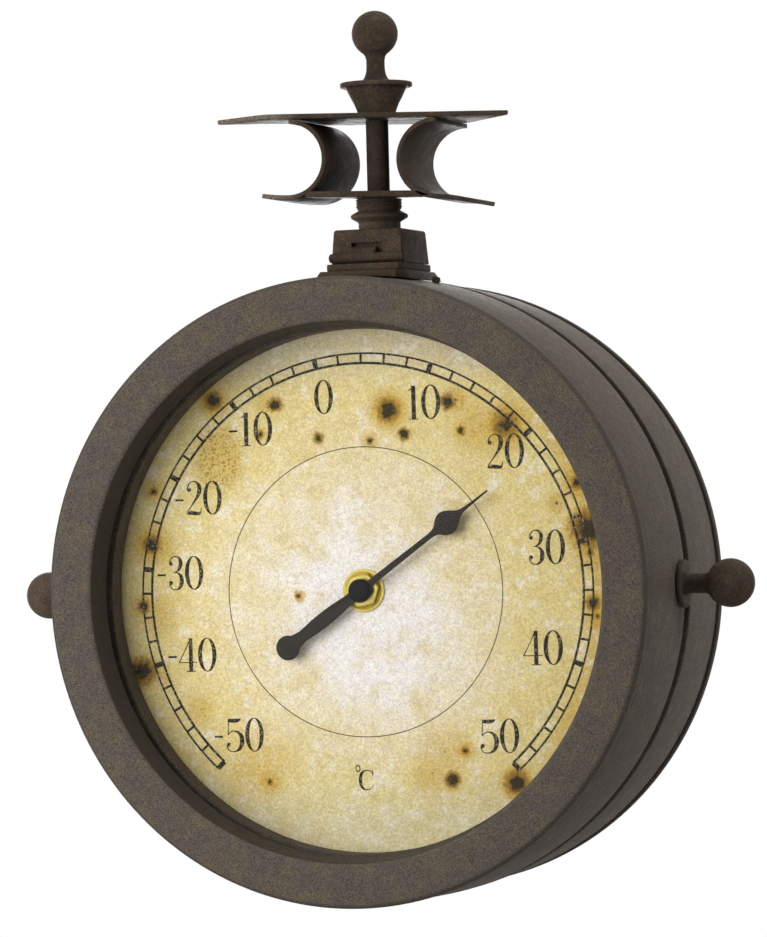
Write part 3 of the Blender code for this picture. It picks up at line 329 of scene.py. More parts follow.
def face_turned(name, profile, direction, steps=192):
    """A case ring from (radius, depth) points, counted inwards from the face plane."""
    points = [(radius, -depth) for radius, depth in profile]
    return turned(name, points, face_place(direction).translation, outwards(direction), steps)


# ---------------------------------------------------------------- sizes and colours


class CaseSizes(bpy.types.PropertyGroup):
    """Rounding and fineness of the case."""

    edge_round: bpy.props.FloatProperty(
        name="Bezel edge", description="Radius of the bezel's outer edge", default=0.0045,
        min=0.001, max=0.006, unit="LENGTH", precision=4,
    )
    lip_round: bpy.props.FloatProperty(
        name="Bezel lip", description="Radius of the bezel's inner edge", default=0.0025,
        min=0.0005, max=0.004, unit="LENGTH", precision=4,
    )
    steps: bpy.props.IntProperty(
        name="Steps", description="Steps round each large ring of the case", default=192, min=48, max=256,
    )


class DialSizes(bpy.types.PropertyGroup):
    """The printed scale and the hands."""

    outer_ring: bpy.props.FloatProperty(
        name="Outer ring", description="Radius of the scale's outer ring", default=0.1145,
        unit="LENGTH", precision=4,
    )
    inner_ring: bpy.props.FloatProperty(
        name="Inner ring", description="Radius of the scale's inner ring", default=0.1098,
        unit="LENGTH", precision=4,
    )
    thin_circle: bpy.props.FloatProperty(
        name="Thin circle", description="Radius of the thin circle inside the numerals", default=0.0696,
        unit="LENGTH", precision=4,
    )
    numeral_height: bpy.props.FloatProperty(
        name="Numeral height", description="Height of the numerals", default=0.0166,
        unit="LENGTH", precision=4,
    )
    temperature: bpy.props.FloatProperty(
        name="Pointer", description="Angle of the pointer above level", default=math.radians(35.5),
        subtype="ANGLE",
    )


class Colours(bpy.types.PropertyGroup):
    """Main colours of the finishes."""

    case: bpy.props.FloatVectorProperty(
        name="Case", description="Antique brown of the bezels", subtype="COLOR", size=3,
        default=(0.092, 0.077, 0.066), min=0, max=1,
    )
    wall: bpy.props.FloatVectorProperty(
        name="Drum", description="Darker brown of the drum walls", subtype="COLOR", size=3,
        default=(0.072, 0.058, 0.048), min=0, max=1,
    )
    iron: bpy.props.FloatVectorProperty(
        name="Bracket", description="Dark brown of the bracket, hanger and knobs", subtype="COLOR", size=3,
        default=(0.053, 0.039, 0.029), min=0, max=1,
    )
    paper: bpy.props.FloatVectorProperty(
        name="Dial", description="Pale middle of the dials", subtype="COLOR", size=3,
        default=(0.88, 0.84, 0.81), min=0, max=1,
    )
    ink: bpy.props.FloatVectorProperty(
        name="Print", description="Ink of the scale and numerals", subtype="COLOR", size=3,
        default=(0.020, 0.017, 0.013), min=0, max=1,
    )
    brass: bpy.props.FloatVectorProperty(
        name="Brass", description="Nut and washer at the dial", subtype="COLOR", size=3,
        default=(0.82, 0.68, 0.17), min=0, max=1,
    )


# ---------------------------------------------------------------- materials


class Finish:
    """A node material under construction."""

    def __init__(self, name, **sockets):
        self.material = bpy.data.materials.new("finish_" + name)
        self.material.use_nodes = True
        self.tree = self.material.node_tree
        self.shader = self.tree.nodes["Principled BSDF"]
        for socket, value in sockets.items():
            self.shader.inputs[socket.replace("_", " ")].default_value = value

    def node(self, kind, **inputs):
        made = self.tree.nodes.new("ShaderNode" + kind)
        for key, value in inputs.items():
            self.put(made.inputs[key.replace("_", " ")], value)
        return made

    def put(self, socket, value):
        if isinstance(value, bpy.types.NodeSocket):
            self.tree.links.new(value, socket)
        else:
            socket.default_value = value

    def place(self, shift=(0, 0, 0)):
        """Object coordinates, moved."""
        coordinate = self.node("TexCoord").outputs["Object"]
        return self.node("Mapping", Vector=coordinate, Location=shift).outputs["Vector"]

    def noise(self, where, scale, detail, roughness):
        made = self.node("TexNoise", Vector=where, Scale=scale, Detail=detail, Roughness=roughness)
        return made.outputs["Fac"]

    def band(self, value, low, high, to_low=0.0, to_high=1.0, smooth=True):
        """The value's range from low to high spread over another, and held at its ends."""
        made = self.node("MapRange")
        made.interpolation_type = "SMOOTHSTEP" if smooth else "LINEAR"
        limits = {"Value": value, "From Min": low, "From Max": high, "To Min": to_low, "To Max": to_high}
        for key, put in limits.items():
            self.put(made.inputs[key], put)
        return made.outputs["Result"]

    def math(self, operation, a, b=0.0, c=0.0):
        made = self.node("Math")
        made.operation = operation
        for socket, value in zip(made.inputs, (a, b, c)):
            self.put(socket, value)
        return made.outputs[0]

    def mix(self, share, first, second, blend="MIX"):
        made = self.node("Mix")
        made.data_type = "RGBA"
        made.blend_type = blend
        self.put(made.inputs["Factor"], share)
        for socket, value in ((made.inputs[6], first), (made.inputs[7], second)):
            self.put(socket, (*value, 1) if isinstance(value, (tuple, list)) and len(value) == 3 else value)
        return made.outputs[2]

    def grained(self, colour, grain, darker, paler):
        """The colour made darker and paler by a fine grain."""
        shade = self.mix(self.band(grain, 0.30, 0.70, smooth=False), (1 - darker,) * 3, (1 + paler,) * 3)
        return self.mix(1.0, colour, shade, "MULTIPLY")

    def split(self, where):
        return self.node("SeparateXYZ", Vector=where).outputs

    def join(self, x, y, z):
        return self.node("CombineXYZ", X=x, Y=y, Z=z).outputs[0]

    def length(self, where):
        made = self.node("VectorMath")
        made.operation = "LENGTH"
        self.put(made.inputs[0], where)
        return made.outputs["Value"]

    def bump(self, height, distance, strength):
        made = self.node("Bump", Height=height, Distance=distance, Strength=strength)
        return made.outputs["Normal"]

    def out(self, **links):
        for socket, value in links.items():
            self.put(self.shader.inputs[socket.replace("_", " ")], value)
        return self.material


def antique_brown(name, colour, patchy=0.60, bore=0.0):
    """Powder coat in antique brown: soft olive and ochre patches under an even fine grain. With a bore
    given, painted shade makes it darker towards the right, and darker still inside the bore's radius."""
    base = tuple(colour)
    made = Finish(name, Metallic=0.0, Specular_IOR_Level=0.06)
    where = made.place(shift=(0, 0, -CASE_Z))
    wide = made.noise(where, 110.0, 4.0, 0.6)
    patch = made.noise(where, 300.0, 3.0, 0.6)
    fine = made.noise(where, 1500.0, 2.0, 0.7)
    colour = made.mix(made.band(wide, 0.46, 0.64, 0.0, patchy), base, (0.126, 0.104, 0.060))
    colour = made.mix(made.band(patch, 0.50, 0.68, 0.0, patchy), colour, (0.122, 0.098, 0.066))
    colour = made.grained(colour, fine, 0.58, 0.62)
    # painted shade on each bezel's rolled outer edge and in the cove behind it
    x, y, z = made.split(where)
    radius = made.length(made.join(x, 0.0, z))
    joint = made.band(made.math("ABSOLUTE", y), 0.0560, 0.0640, 0.0, 0.55)
    rim = made.band(radius, 0.1476, 0.1490)
    colour = made.mix(made.math("MULTIPLY", joint, rim), colour, tuple(c * 0.40 for c in base))
    if bore:
        # painted shade: darker towards the right-hand side, turned from the light
        painted_side_shade = made.band(x, -0.15, 0.15, 0.0, 0.16, smooth=False)
        colour = made.mix(painted_side_shade, colour, tuple(c * 0.30 for c in base))
        # painted shade inside the bore's radius, where the recess lies in shade
        inside = made.band(radius, bore + 0.0006, bore)
        colour = made.mix(inside, colour, tuple(c * 0.50 for c in base))
    roughness = made.band(patch, 0.3, 0.7, 0.52, 0.66)
    relief = made.math("ADD", made.math("MULTIPLY", patch, 0.3), made.math("MULTIPLY", fine, 0.5))
    return made.out(Base_Color=colour, Roughness=roughness, Normal=made.bump(relief, 0.00012, 0.6))


def cast_iron(name, colour, tone=1.0, rust=0.4, shaded_from=None, worn_to=None):
    """The bracket's darker brown, golden where it is rubbed and rusty in its hollows. Beyond one x it
    is darker with painted shade, for the side turned from the light, and before another it is rubbed to pale
    specks."""
    base = tuple(c * tone for c in colour)
    made = Finish(name, Metallic=0.0, Specular_IOR_Level=0.02)
    where = made.place()
    cloud = made.noise(where, 60.0, 4.0, 0.6)
    patch = made.noise(where, 210.0, 4.0, 0.6)
    rusty = made.noise(where, 150.0, 3.0, 0.6)
    grain = made.noise(where, 1300.0, 2.0, 0.65)
    colour = made.mix(
        made.band(cloud, 0.36, 0.66), tuple(c * 0.86 for c in base), tuple(c * 1.2 for c in base),
    )
    colour = made.mix(made.band(patch, 0.54, 0.72, 0.0, 0.5), colour, (0.100, 0.076, 0.036))
    colour = made.mix(made.band(rusty, 0.60 - 0.1 * rust, 0.74, 0.0, rust), colour, (0.130, 0.068, 0.030))
    colour = made.grained(colour, grain, 0.40, 0.36)
    # painted shade: the side beyond this x, turned from the light, is made darker
    if shaded_from is not None:
        colour = made.mix(
            made.band(made.split(where)[0], shaded_from, shaded_from + 0.0003), colour,
            tuple(c * 0.50 for c in base),
        )
    if worn_to is not None:
        worn = made.math(
            "MULTIPLY", made.band(made.split(where)[0], worn_to + 0.015, worn_to),
            made.band(grain, 0.40, 0.62, 0.25, 0.9),
        )
        colour = made.mix(worn, colour, (0.240, 0.200, 0.165))
    roughness = made.band(patch, 0.3, 0.75, 0.40, 0.58)
    relief = made.math("ADD", made.math("MULTIPLY", patch, 0.7), made.math("MULTIPLY", grain, 0.3))
    return made.out(Base_Color=colour, Roughness=roughness, Normal=made.bump(relief, 0.00025, 0.6))


def paint(name, colour):
    """Satin black paint with a little dust and a fine tooth."""
    base = tuple(colour)
    made = Finish(name, Specular_IOR_Level=0.08)
    where = made.place()
    dust = made.noise(where, 900.0, 3.0, 0.6)
    cloud = made.noise(where, 140.0, 3.0, 0.5)
    colour = made.mix(made.band(dust, 0.60, 0.78, 0.0, 0.20), base, (0.10, 0.085, 0.065))
    roughness = made.band(cloud, 0.3, 0.7, 0.36, 0.54)
    return made.out(Base_Color=colour, Roughness=roughness, Normal=made.bump(dust, 0.00006, 0.5))


def metal(name, colour, rough=0.28, tarnish=(0.25, 0.16, 0.06)):
    """Turned metal with faint lathe marks and tarnish."""
    made = Finish(name, Metallic=1.0)
    where = made.place()
    cloud = made.noise(where, 260.0, 4.0, 0.6)
    fine = made.noise(where, 1800.0, 2.0, 0.5)
    colour = made.mix(made.band(cloud, 0.52, 0.78, 0.0, 0.5), tuple(colour), tarnish)
    roughness = made.band(cloud, 0.3, 0.75, rough - 0.06, rough + 0.16)
    return made.out(Base_Color=colour, Roughness=roughness, Normal=made.bump(fine, 0.00004, 0.5))


def moulded(name, colour, rough=0.5, grain_scale=900.0):
    """Moulded plastic or rubber with a fine texture."""
    base = tuple(colour)
    made = Finish(name)
    where = made.place()
    grain = made.noise(where, grain_scale, 3.0, 0.6)
    cloud = made.noise(where, 60.0, 3.0, 0.5)
    colour = made.mix(made.band(cloud, 0.3, 0.7), tuple(c * 0.8 for c in base), tuple(c * 1.3 for c in base))
    roughness = made.band(grain, 0.3, 0.7, rough - 0.08, rough + 0.1)
    return made.out(Base_Color=colour, Roughness=roughness, Normal=made.bump(grain, 0.00008, 0.5))


def clear_glass():
    """Flat glass: see-through, with a faint haze and a mirror that grows towards a grazing angle.
    Facing is the same on a pane's front and back, so neither side turns opaque."""
    made = Finish("clear_glass", Base_Color=(1, 1, 1, 1), Metallic=1.0)
    haze = made.noise(made.place(), 30.0, 3.0, 0.5)
    slant = made.node("LayerWeight", Blend=0.5).outputs["Facing"]
    straight_on = 0.007
    mirror = made.math("MULTIPLY_ADD", made.math("POWER", slant, 5.0), 1 - straight_on, straight_on)
    return made.out(Alpha=mirror, Roughness=made.band(haze, 0.3, 0.7, 0.02, 0.05))


# Rust and tea-coloured stains on the dials, in millimetres from the case axis: x and z, radius of
# the dark core and of the yellow halo; then darkness of the core and strength of the halo
STAINS = (
    (14.5, 86.2, 3.4, 10.5, 1.00, 1.00), (22.3, 74.5, 1.9, 4.5, 0.95, 0.50),
    (44.5, 89.3, 2.2, 5.0, 1.00, 0.70), (48.5, 90.0, 1.0, 7.5, 0.20, 0.85),
    (50.9, 75.4, 1.5, 5.5, 0.75, 0.85), (4.9, 71.7, 1.3, 4.5, 0.60, 0.70),
    (73.3, 77.2, 4.6, 13.0, 0.60, 1.00), (61.0, 77.0, 0.5, 16.0, 0.00, 0.60),
    (107.9, 49.1, 2.4, 8.0, 0.55, 0.85), (97.6, 39.7, 0.8, 5.5, 0.20, 0.75),
    (113.6, 27.2, 5.6, 13.0, 0.92, 1.00), (113.6, 16.0, 1.8, 9.0, 0.45, 0.85),
    (114.3, -7.9, 2.1, 6.0, 0.95, 0.90), (116.6, -14.0, 1.2, 7.5, 0.40, 0.95),
    (42.4, -91.0, 2.3, 6.0, 1.00, 0.85), (49.0, -77.2, 1.4, 5.0, 0.65, 0.95),
    (39.0, -77.5, 0.5, 14.0, 0.00, 0.50), (74.4, -92.5, 3.6, 9.0, 0.92, 1.00),
    (32.5, -87.7, 0.5, 12.0, 0.00, 0.50), (-50.7, -91.6, 1.5, 7.0, 0.40, 0.85),
    (-56.0, -84.0, 0.5, 21.0, 0.00, 0.45), (-85.3, -56.3, 0.7, 9.0, 0.20, 0.50),
    (-114.3, -5.8, 1.9, 7.0, 0.90, 0.85), (-107.0, -10.0, 0.5, 12.0, 0.00, 0.60),
    (-115.4, -37.4, 3.9, 9.0, 0.95, 0.90), (-107.6, -38.6, 0.8, 8.0, 0.25, 0.60),
    (-109.1, 24.5, 2.6, 11.0, 1.00, 0.95), (-104.0, 22.0, 0.6, 9.0, 0.15, 0.70),
    (-107.3, 50.2, 1.6, 6.0, 0.60, 0.75), (-75.3, 93.3, 2.7, 8.5, 1.00, 0.90),
    (-43.3, 90.5, 2.2, 5.0, 0.95, 0.60), (-47.5, 91.0, 0.6, 7.0, 0.10, 0.60),
    (-51.0, 76.5, 1.4, 4.0, 0.65, 0.60), (-21.5, 73.9, 1.7, 4.0, 0.80, 0.45),
    (-33.9, -2.0, 1.1, 2.6, 0.60, 0.90), (8.0, -2.7, 0.9, 2.2, 0.55, 0.50),
)


def aged_dial(name, colour):
    """Old printed paper: pale middle, tea-coloured rim, grain and rust stains."""
    made = Finish(name, Specular_IOR_Level=0.10)
    where = made.place(shift=(0, 0, -CASE_Z))
    x, _, z = made.split(where)
    radius = made.length(made.join(x, 0.0, z))
    cloud = made.noise(where, 16.0, 4.0, 0.6)
    drift = made.noise(where, 55.0, 4.0, 0.6)
    blotch = made.noise(where, 150.0, 4.0, 0.65)
    mottle = made.noise(where, 420.0, 3.0, 0.65)
    grain = made.noise(where, 1150.0, 3.0, 0.7)
    # pale middle, a little right of the axis and low
    off = made.length(made.join(made.math("SUBTRACT", x, 0.001), 0.0, made.math("ADD", z, 0.008)))
    wander = made.math("MULTIPLY", made.math("SUBTRACT", cloud, 0.5), 0.070)
    wobble = made.math(
        "ADD", off, made.math("ADD", wander, made.math("MULTIPLY", made.math("SUBTRACT", drift, 0.5), 0.040)),
    )
    colour = made.mix(made.band(wobble, 0.024, 0.057), tuple(colour), (0.80, 0.70, 0.46))
    colour = made.mix(made.band(wobble, 0.054, 0.096), colour, (0.75, 0.62, 0.270))
    # greyer towards the bottom edge; towards the top edge, painted shade under the bezel's upper rim
    colour = made.mix(made.band(z, -0.084, -0.112, 0.0, 0.55), colour, (0.72, 0.69, 0.50))
    colour = made.mix(made.band(z, 0.094, 0.114, 0.0, 0.62), colour, (0.63, 0.58, 0.45))
    golden = made.math("MULTIPLY", made.band(radius, 0.1130, 0.1165, 0.0, 0.65), made.band(x, 0.075, 0.105))
    colour = made.mix(golden, colour, (0.62, 0.40, 0.07))
    colour = made.mix(made.band(drift, 0.50, 0.70, 0.0, 0.35), colour, (0.67, 0.51, 0.18))
    colour = made.mix(made.band(blotch, 0.50, 0.68, 0.0, 0.38), colour, (0.65, 0.51, 0.17))
    colour = made.mix(made.band(blotch, 0.48, 0.32, 0.0, 0.60), colour, (0.88, 0.83, 0.72))
    colour = made.mix(made.band(mottle, 0.50, 0.70, 0.0, 0.22), colour, (0.60, 0.49, 0.18))
    colour = made.grained(colour, mottle, 0.10, 0.08)
    # speckled patch at the upper left
    aside, above = made.math("ADD", x, 0.0727), made.math("SUBTRACT", z, 0.0654)
    near = made.length(made.join(made.math("MULTIPLY", aside, 1.25), 0.0, above))
    patch = made.band(near, 0.0215, 0.0090)
    colour = made.mix(made.math("MULTIPLY", patch, 0.70), colour, (0.60, 0.42, 0.09))
    specks = made.band(made.noise(where, 780.0, 3.0, 0.7), 0.50, 0.62)
    colour = made.mix(
        made.math("MULTIPLY", made.math("MULTIPLY", patch, specks), 0.90), colour, (0.30, 0.165, 0.025),
    )
    # each stain: a yellow halo, a brown ring and a dark core, all with ragged edges
    warp = made.math("MULTIPLY", made.math("SUBTRACT", blotch, 0.5), 0.010)
    ragged = made.math("MULTIPLY", made.math("SUBTRACT", mottle, 0.5), 1.9)
    nearest, halo = 9.0, 0.0
    for sx, sz, core, reach, dark, strength in STAINS:
        aside = made.join(made.math("SUBTRACT", x, sx / 1000), 0.0, made.math("SUBTRACT", z, sz / 1000))
        away = made.length(aside)
        nearest = made.math("MINIMUM", nearest, made.math("MULTIPLY_ADD", away, 850 / core, (1 - dark) * 0.9))
        ring = made.band(made.math("ADD", away, warp), reach / 780, (core * 0.7 + reach * 0.25) / 1000)
        halo = made.math("MAXIMUM", halo, made.math("MULTIPLY", ring, strength))
    nearest = made.math("ADD", nearest, ragged)
    specked = made.math("MULTIPLY", halo, made.band(mottle, 0.30, 0.62, 0.55, 1.0))
    colour = made.mix(made.math("MULTIPLY", specked, 0.92), colour, (0.61, 0.37, 0.025))
    colour = made.mix(
        made.math("MULTIPLY", made.math("MULTIPLY", halo, specks), 0.55), colour, (0.34, 0.19, 0.02),
    )
    colour = made.mix(made.band(nearest, 1.95, 1.1, 0.0, 0.88), colour, (0.27, 0.145, 0.020))
    colour = made.mix(made.band(nearest, 1.20, 0.62, 0.0, 0.96), colour, (0.030, 0.024, 0.012))
    colour = made.grained(colour, grain, 0.27, 0.22)
    roughness = made.band(blotch, 0.3, 0.7, 0.60, 0.75)
    return made.out(Base_Color=colour, Roughness=roughness, Normal=made.bump(grain, 0.00004, 0.4))


def worn_ink(name, colour, wear=0.5):
    """Old print: dark, broken by pale specks where it has flaked."""
    made = Finish(name, Specular_IOR_Level=0.05, Roughness=0.7)
    where = made.place()
    grain = made.noise(where, 1000.0, 3.0, 0.7)
    cloud = made.noise(where, 90.0, 3.0, 0.5)
    flaked = made.math(
        "MULTIPLY", made.band(grain, 0.52, 0.64), made.band(cloud, 0.35, 0.65, wear * 0.5, wear),
    )
    colour = made.mix(flaked, tuple(colour), (0.50, 0.41, 0.24))
    return made.out(Base_Color=colour, Normal=made.bump(grain, 0.00004, 0.5))


finishes = {}


def finish(name):
    """A material by name, made the first time that it is asked for."""
    if name in finishes:
        return finishes[name]
    colours = bpy.context.scene.clock_colours
    makers = {
        "antique_brown": lambda: antique_brown(name, colours.case, 0.50, BEZEL_BORE),
        "antique_brown_wall": lambda: antique_brown(name, colours.wall, 0.30),
        "dark_brown": lambda: cast_iron(name, colours.iron),
        "black_paint": lambda: paint(name, (0.030, 0.026, 0.022)),
        "black_cap": lambda: paint(name, (0.010, 0.010, 0.010)),
        # painted light: a brighter copy of the iron, for the collar in shade and the knob that faces the
        # light
        "brightened_iron": lambda: cast_iron(name, colours.iron, 1.5),
        "worn_iron": lambda: cast_iron(name, colours.iron, 1.0, worn_to=-0.045),
        # painted shade on the right-hand side of the hanger's block, step and saddle
        "right_shaded_iron": lambda: cast_iron(name, colours.iron, 1.15, rust=0.7, shaded_from=0.0172),
        "brass": lambda: metal(name, colours.brass, 0.34, (0.42, 0.29, 0.05)),
        "steel": lambda: metal(name, (0.56, 0.56, 0.55), 0.34, (0.32, 0.30, 0.28)),
        "clear_glass": clear_glass,
        "aged_dial": lambda: aged_dial(name, colours.paper),
        "worn_ink": lambda: worn_ink(name, colours.ink, 0.75),
        "faded_ink": lambda: worn_ink(name, (0.085, 0.065, 0.045), 0.6),
        "black_rubber": lambda: moulded(name, (0.022, 0.022, 0.022), 0.78),
        "black_plastic": lambda: moulded(name, (0.032, 0.032, 0.033), 0.5),
        "cell_jacket": lambda: moulded(name, (0.10, 0.12, 0.17), 0.4, 300.0),
    }
    finishes[name] = makers[name]()
    return finishes[name]


# ---------------------------------------------------------------- the case


def make_lug(side):
    """A tongue of the rear rim that reaches over the seam under a side knob."""
    half = math.radians(4.02)
    out = Vector((side * math.cos(half), 0, -side * math.sin(half)))
    corners = rounded([(SLEEVE, -0.0045), (DRUM_RIM, -0.0045, 0.0008), (DRUM_RIM, 0.0042), (SLEEVE, 0.0042)])
    piece = begin("lug")
    draw([Vector((0, 0, CASE_Z)) + out * r + REAR * y for r, y in corners], close=True)
    bpy.ops.mesh.edge_face_add()
    pick(lambda co: True)
    bpy.ops.mesh.spin(steps=6, angle=2 * half, center=(0, 0, CASE_Z), axis=REAR)
    close_shell()
    end_editing()
    return piece


def make_drum(name, direction, body):
    """One drum wall, flaring from its cove at the bezel to its rim. The rear one ends in the sleeve
    that the front one slides over, and in a lug under each knob."""
    wall, shoulder, drum = 0.0025, 0.1496, 0.1483
    end = FACE_PLANE - (0.0048 if direction == "front" else 0.0040)
    ends = [(DRUM_RIM - wall, end)]
    if direction == "rear":
        tip, root = FACE_PLANE + 0.0190, FACE_PLANE - 0.0100
        ends = [(SLEEVE, end), (SLEEVE, tip), (SLEEVE - wall, tip), (SLEEVE - wall, root)]
    profile = [
        (drum, 0.0071), (shoulder, 0.0140), (DRUM_RIM, end, 0.0008), *ends,
        (shoulder - wall, 0.0140), (drum - wall, 0.0071),
    ]
    piece = face_turned(name, rounded(profile), direction)
    if direction == "rear":
        piece = joined([piece, make_lug(-1), make_lug(1)], name)
    smooth(piece)
    return dress(piece, finish("antique_brown_wall"), body, "antique_brown", name)


def make_bezel(name, direction, body):
    """The bezel's face, rolled outer edge, bore and the skirt behind it."""
    sizes = bpy.context.scene.clock_case
    profile = rounded([
        (BEZEL_BORE, 0.0, sizes.lip_round), (0.1500, 0.0, sizes.edge_round), (0.1500, 0.0068, 0.0008),
        (0.1455, 0.0068), (0.1455, 0.0128), (0.1433, 0.0128), (0.1433, 0.0030), (0.1332, 0.0030),
        (0.1332, 0.0366), (0.1310, 0.0366), (0.1310, 0.0165), (0.1268, 0.0165),
    ], 8)
    piece = face_turned(name, profile, direction, sizes.steps)
    return dress(piece, finish("antique_brown"), body, "antique_brown", name)


def make_spacer(name, direction, body):
    piece = face_turned(name, rounded([
        (0.1256, 0.0214, 0.0004), (STACK_RADIUS, 0.0214), (STACK_RADIUS, 0.0330), (0.1256, 0.0330),
    ], 4), direction)
    return dress(piece, finish("antique_brown_wall"), body, "antique_brown", name)


def make_glass(name, direction, body):
    """A disc of glass with ground edges."""
    piece = face_turned(name, rounded([
        (0, 0.0181), (STACK_RADIUS, 0.0181, 0.0004), (STACK_RADIUS, 0.0211, 0.0004), (0, 0.0211),
    ], 3), direction)
    return dress(piece, finish("clear_glass"), body, "clear_glass", name)


def make_dial(name, direction, body):
    piece = face_turned(name, rounded([
        (0.0045, DIAL_DEPTH), (STACK_RADIUS, DIAL_DEPTH, 0.0002), (STACK_RADIUS, 0.0343), (0.0045, 0.0343),
    ], 3), direction)
    return dress(piece, finish("aged_dial"), body, "dial_paint", name)


# ---------------------------------------------------------------- the printed scales

# Strokes of each figure on a body 1 high: centre points (x, y) with the half width there
THIN, THICK = 0.014, 0.066
FIGURES = {
    "0": [("ring", 0.30, 0.5, 0.225, 0.485)],
    "1": [
        ("line", [(0.24, 0.02, THICK * 0.98), (0.24, 0.30, THICK * 0.96), (0.24, 0.98, THICK * 0.96)]),
        ("line", [(0.10, 0.015, THIN), (0.38, 0.015, THIN)]),
        ("line", [(0.08, 0.84, THIN), (0.16, 0.87, 0.020), (0.24, 0.97, 0.020)]),
    ],
    "2": [
        ("line", [
            (0.085, 0.72, 0.020), (0.10, 0.84, 0.018), (0.17, 0.95, 0.016), (0.29, 0.985, 0.016),
            (0.40, 0.94, 0.036), (0.455, 0.83, 0.062), (0.455, 0.70, 0.066), (0.40, 0.56, 0.050),
            (0.30, 0.41, 0.028), (0.19, 0.26, 0.018), (0.10, 0.14, 0.016), (0.06, 0.06, 0.014),
        ]),
        ("line", [
            (0.05, 0.055, 0.040), (0.16, 0.065, 0.056), (0.30, 0.055, 0.056), (0.42, 0.045, 0.046),
            (0.48, 0.09, 0.022), (0.505, 0.20, 0.012),
        ]),
        ("dot", 0.135, 0.745, 0.062),
    ],
    "3": [
        ("line", [
            (0.085, 0.80, 0.020), (0.13, 0.92, 0.016), (0.24, 0.985, 0.015), (0.36, 0.96, 0.030),
            (0.425, 0.86, 0.056), (0.425, 0.73, 0.058), (0.37, 0.60, 0.036), (0.27, 0.535, 0.015),
            (0.20, 0.525, 0.013),
        ]),
        ("line", [
            (0.22, 0.527, 0.013), (0.34, 0.50, 0.020), (0.43, 0.41, 0.050), (0.455, 0.28, 0.066),
            (0.43, 0.14, 0.056), (0.35, 0.04, 0.028), (0.24, 0.015, 0.015), (0.13, 0.05, 0.016),
            (0.07, 0.18, 0.020),
        ]),
        ("dot", 0.125, 0.775, 0.058), ("dot", 0.115, 0.215, 0.060),
    ],
    "4": [
        ("line", [(0.405, 0.015, THICK * 0.95), (0.405, 0.30, THICK * 0.95), (0.405, 0.985, THICK * 0.85)]),
        ("line", [(0.395, 0.985, 0.016), (0.22, 0.62, 0.015), (0.035, 0.285, 0.015)]),
        ("line", [(0.02, 0.275, THIN), (0.60, 0.275, THIN)]),
        ("line", [(0.27, 0.015, THIN), (0.54, 0.015, THIN)]),
    ],
    "5": [
        ("line", [(0.118, 0.50, 0.014), (0.129, 0.75, 0.014), (0.134, 0.97, 0.014)]),
        ("line", [
            (0.123, 0.925, 0.050), (0.269, 0.910, 0.056), (0.426, 0.920, 0.052), (0.515, 0.965, 0.016),
        ]),
        ("line", [
            (0.118, 0.50, 0.013), (0.202, 0.585, 0.015), (0.325, 0.61, 0.018), (0.459, 0.555, 0.042),
            (0.543, 0.42, 0.066), (0.543, 0.25, 0.066), (0.47, 0.09, 0.046), (0.347, 0.02, 0.020),
            (0.224, 0.012, 0.015), (0.123, 0.06, 0.016), (0.073, 0.19, 0.020),
        ]),
        ("dot", 0.129, 0.215, 0.060),
    ],
    "6": [
        ("line", [
            (0.465, 0.80, 0.018), (0.43, 0.92, 0.016), (0.33, 0.985, 0.015), (0.22, 0.93, 0.028),
            (0.13, 0.76, 0.054), (0.10, 0.50, 0.066), (0.115, 0.26, 0.066), (0.19, 0.07, 0.036),
            (0.30, 0.013, 0.014),
        ]),
        ("line", [
            (0.12, 0.40, 0.014), (0.20, 0.53, 0.015), (0.31, 0.565, 0.018), (0.42, 0.49, 0.044),
            (0.47, 0.32, 0.066), (0.455, 0.16, 0.056), (0.39, 0.04, 0.026), (0.30, 0.013, 0.014),
        ]),
        ("dot", 0.425, 0.79, 0.056),
    ],
    "7": [
        ("line", [
            (0.045, 0.78, 0.012), (0.06, 0.90, 0.026), (0.14, 0.945, 0.050), (0.30, 0.930, 0.054),
            (0.47, 0.955, 0.030),
        ]),
        ("line", [
            (0.475, 0.955, 0.016), (0.38, 0.72, 0.024), (0.28, 0.45, 0.044), (0.235, 0.22, 0.066),
            (0.225, 0.02, 0.072),
        ]),
    ],
    "8": [("ring", 0.27, 0.745, 0.165, 0.235), ("ring", 0.27, 0.265, 0.205, 0.250)],
    "9": [
        ("line", [
            (0.075, 0.20, 0.018), (0.11, 0.08, 0.016), (0.21, 0.015, 0.015), (0.32, 0.07, 0.028),
            (0.41, 0.24, 0.054), (0.44, 0.50, 0.066), (0.425, 0.74, 0.066), (0.35, 0.93, 0.036),
            (0.24, 0.987, 0.014),
        ]),
        ("line", [
            (0.42, 0.60, 0.014), (0.34, 0.47, 0.015), (0.23, 0.435, 0.018), (0.12, 0.51, 0.044),
            (0.07, 0.68, 0.066), (0.085, 0.84, 0.056), (0.15, 0.96, 0.026), (0.24, 0.987, 0.014),
        ]),
        ("dot", 0.115, 0.21, 0.056),
    ],
    "-": [("line", [(0.03, 0.445, 0.030), (0.295, 0.445, 0.030)])],
    "C": [
        ("line", [
            (0.76, 0.74, 0.016), (0.72, 0.88, 0.018), (0.60, 0.97, 0.022), (0.44, 0.985, 0.024),
            (0.27, 0.93, 0.050), (0.15, 0.77, 0.078), (0.11, 0.50, 0.088), (0.15, 0.23, 0.078),
            (0.27, 0.07, 0.050), (0.44, 0.015, 0.024), (0.60, 0.035, 0.020), (0.73, 0.13, 0.018),
            (0.80, 0.27, 0.014),
        ]),
        ("line", [(0.765, 0.98, 0.016), (0.765, 0.72, 0.022)]),
    ],
}
FIGURE_WIDTHS = {
    "0": 0.60, "1": 0.46, "2": 0.56, "3": 0.55, "4": 0.62, "5": 0.64, "6": 0.57, "7": 0.52, "8": 0.54,
    "9": 0.54, "-": 0.335, "C": 0.9,
}


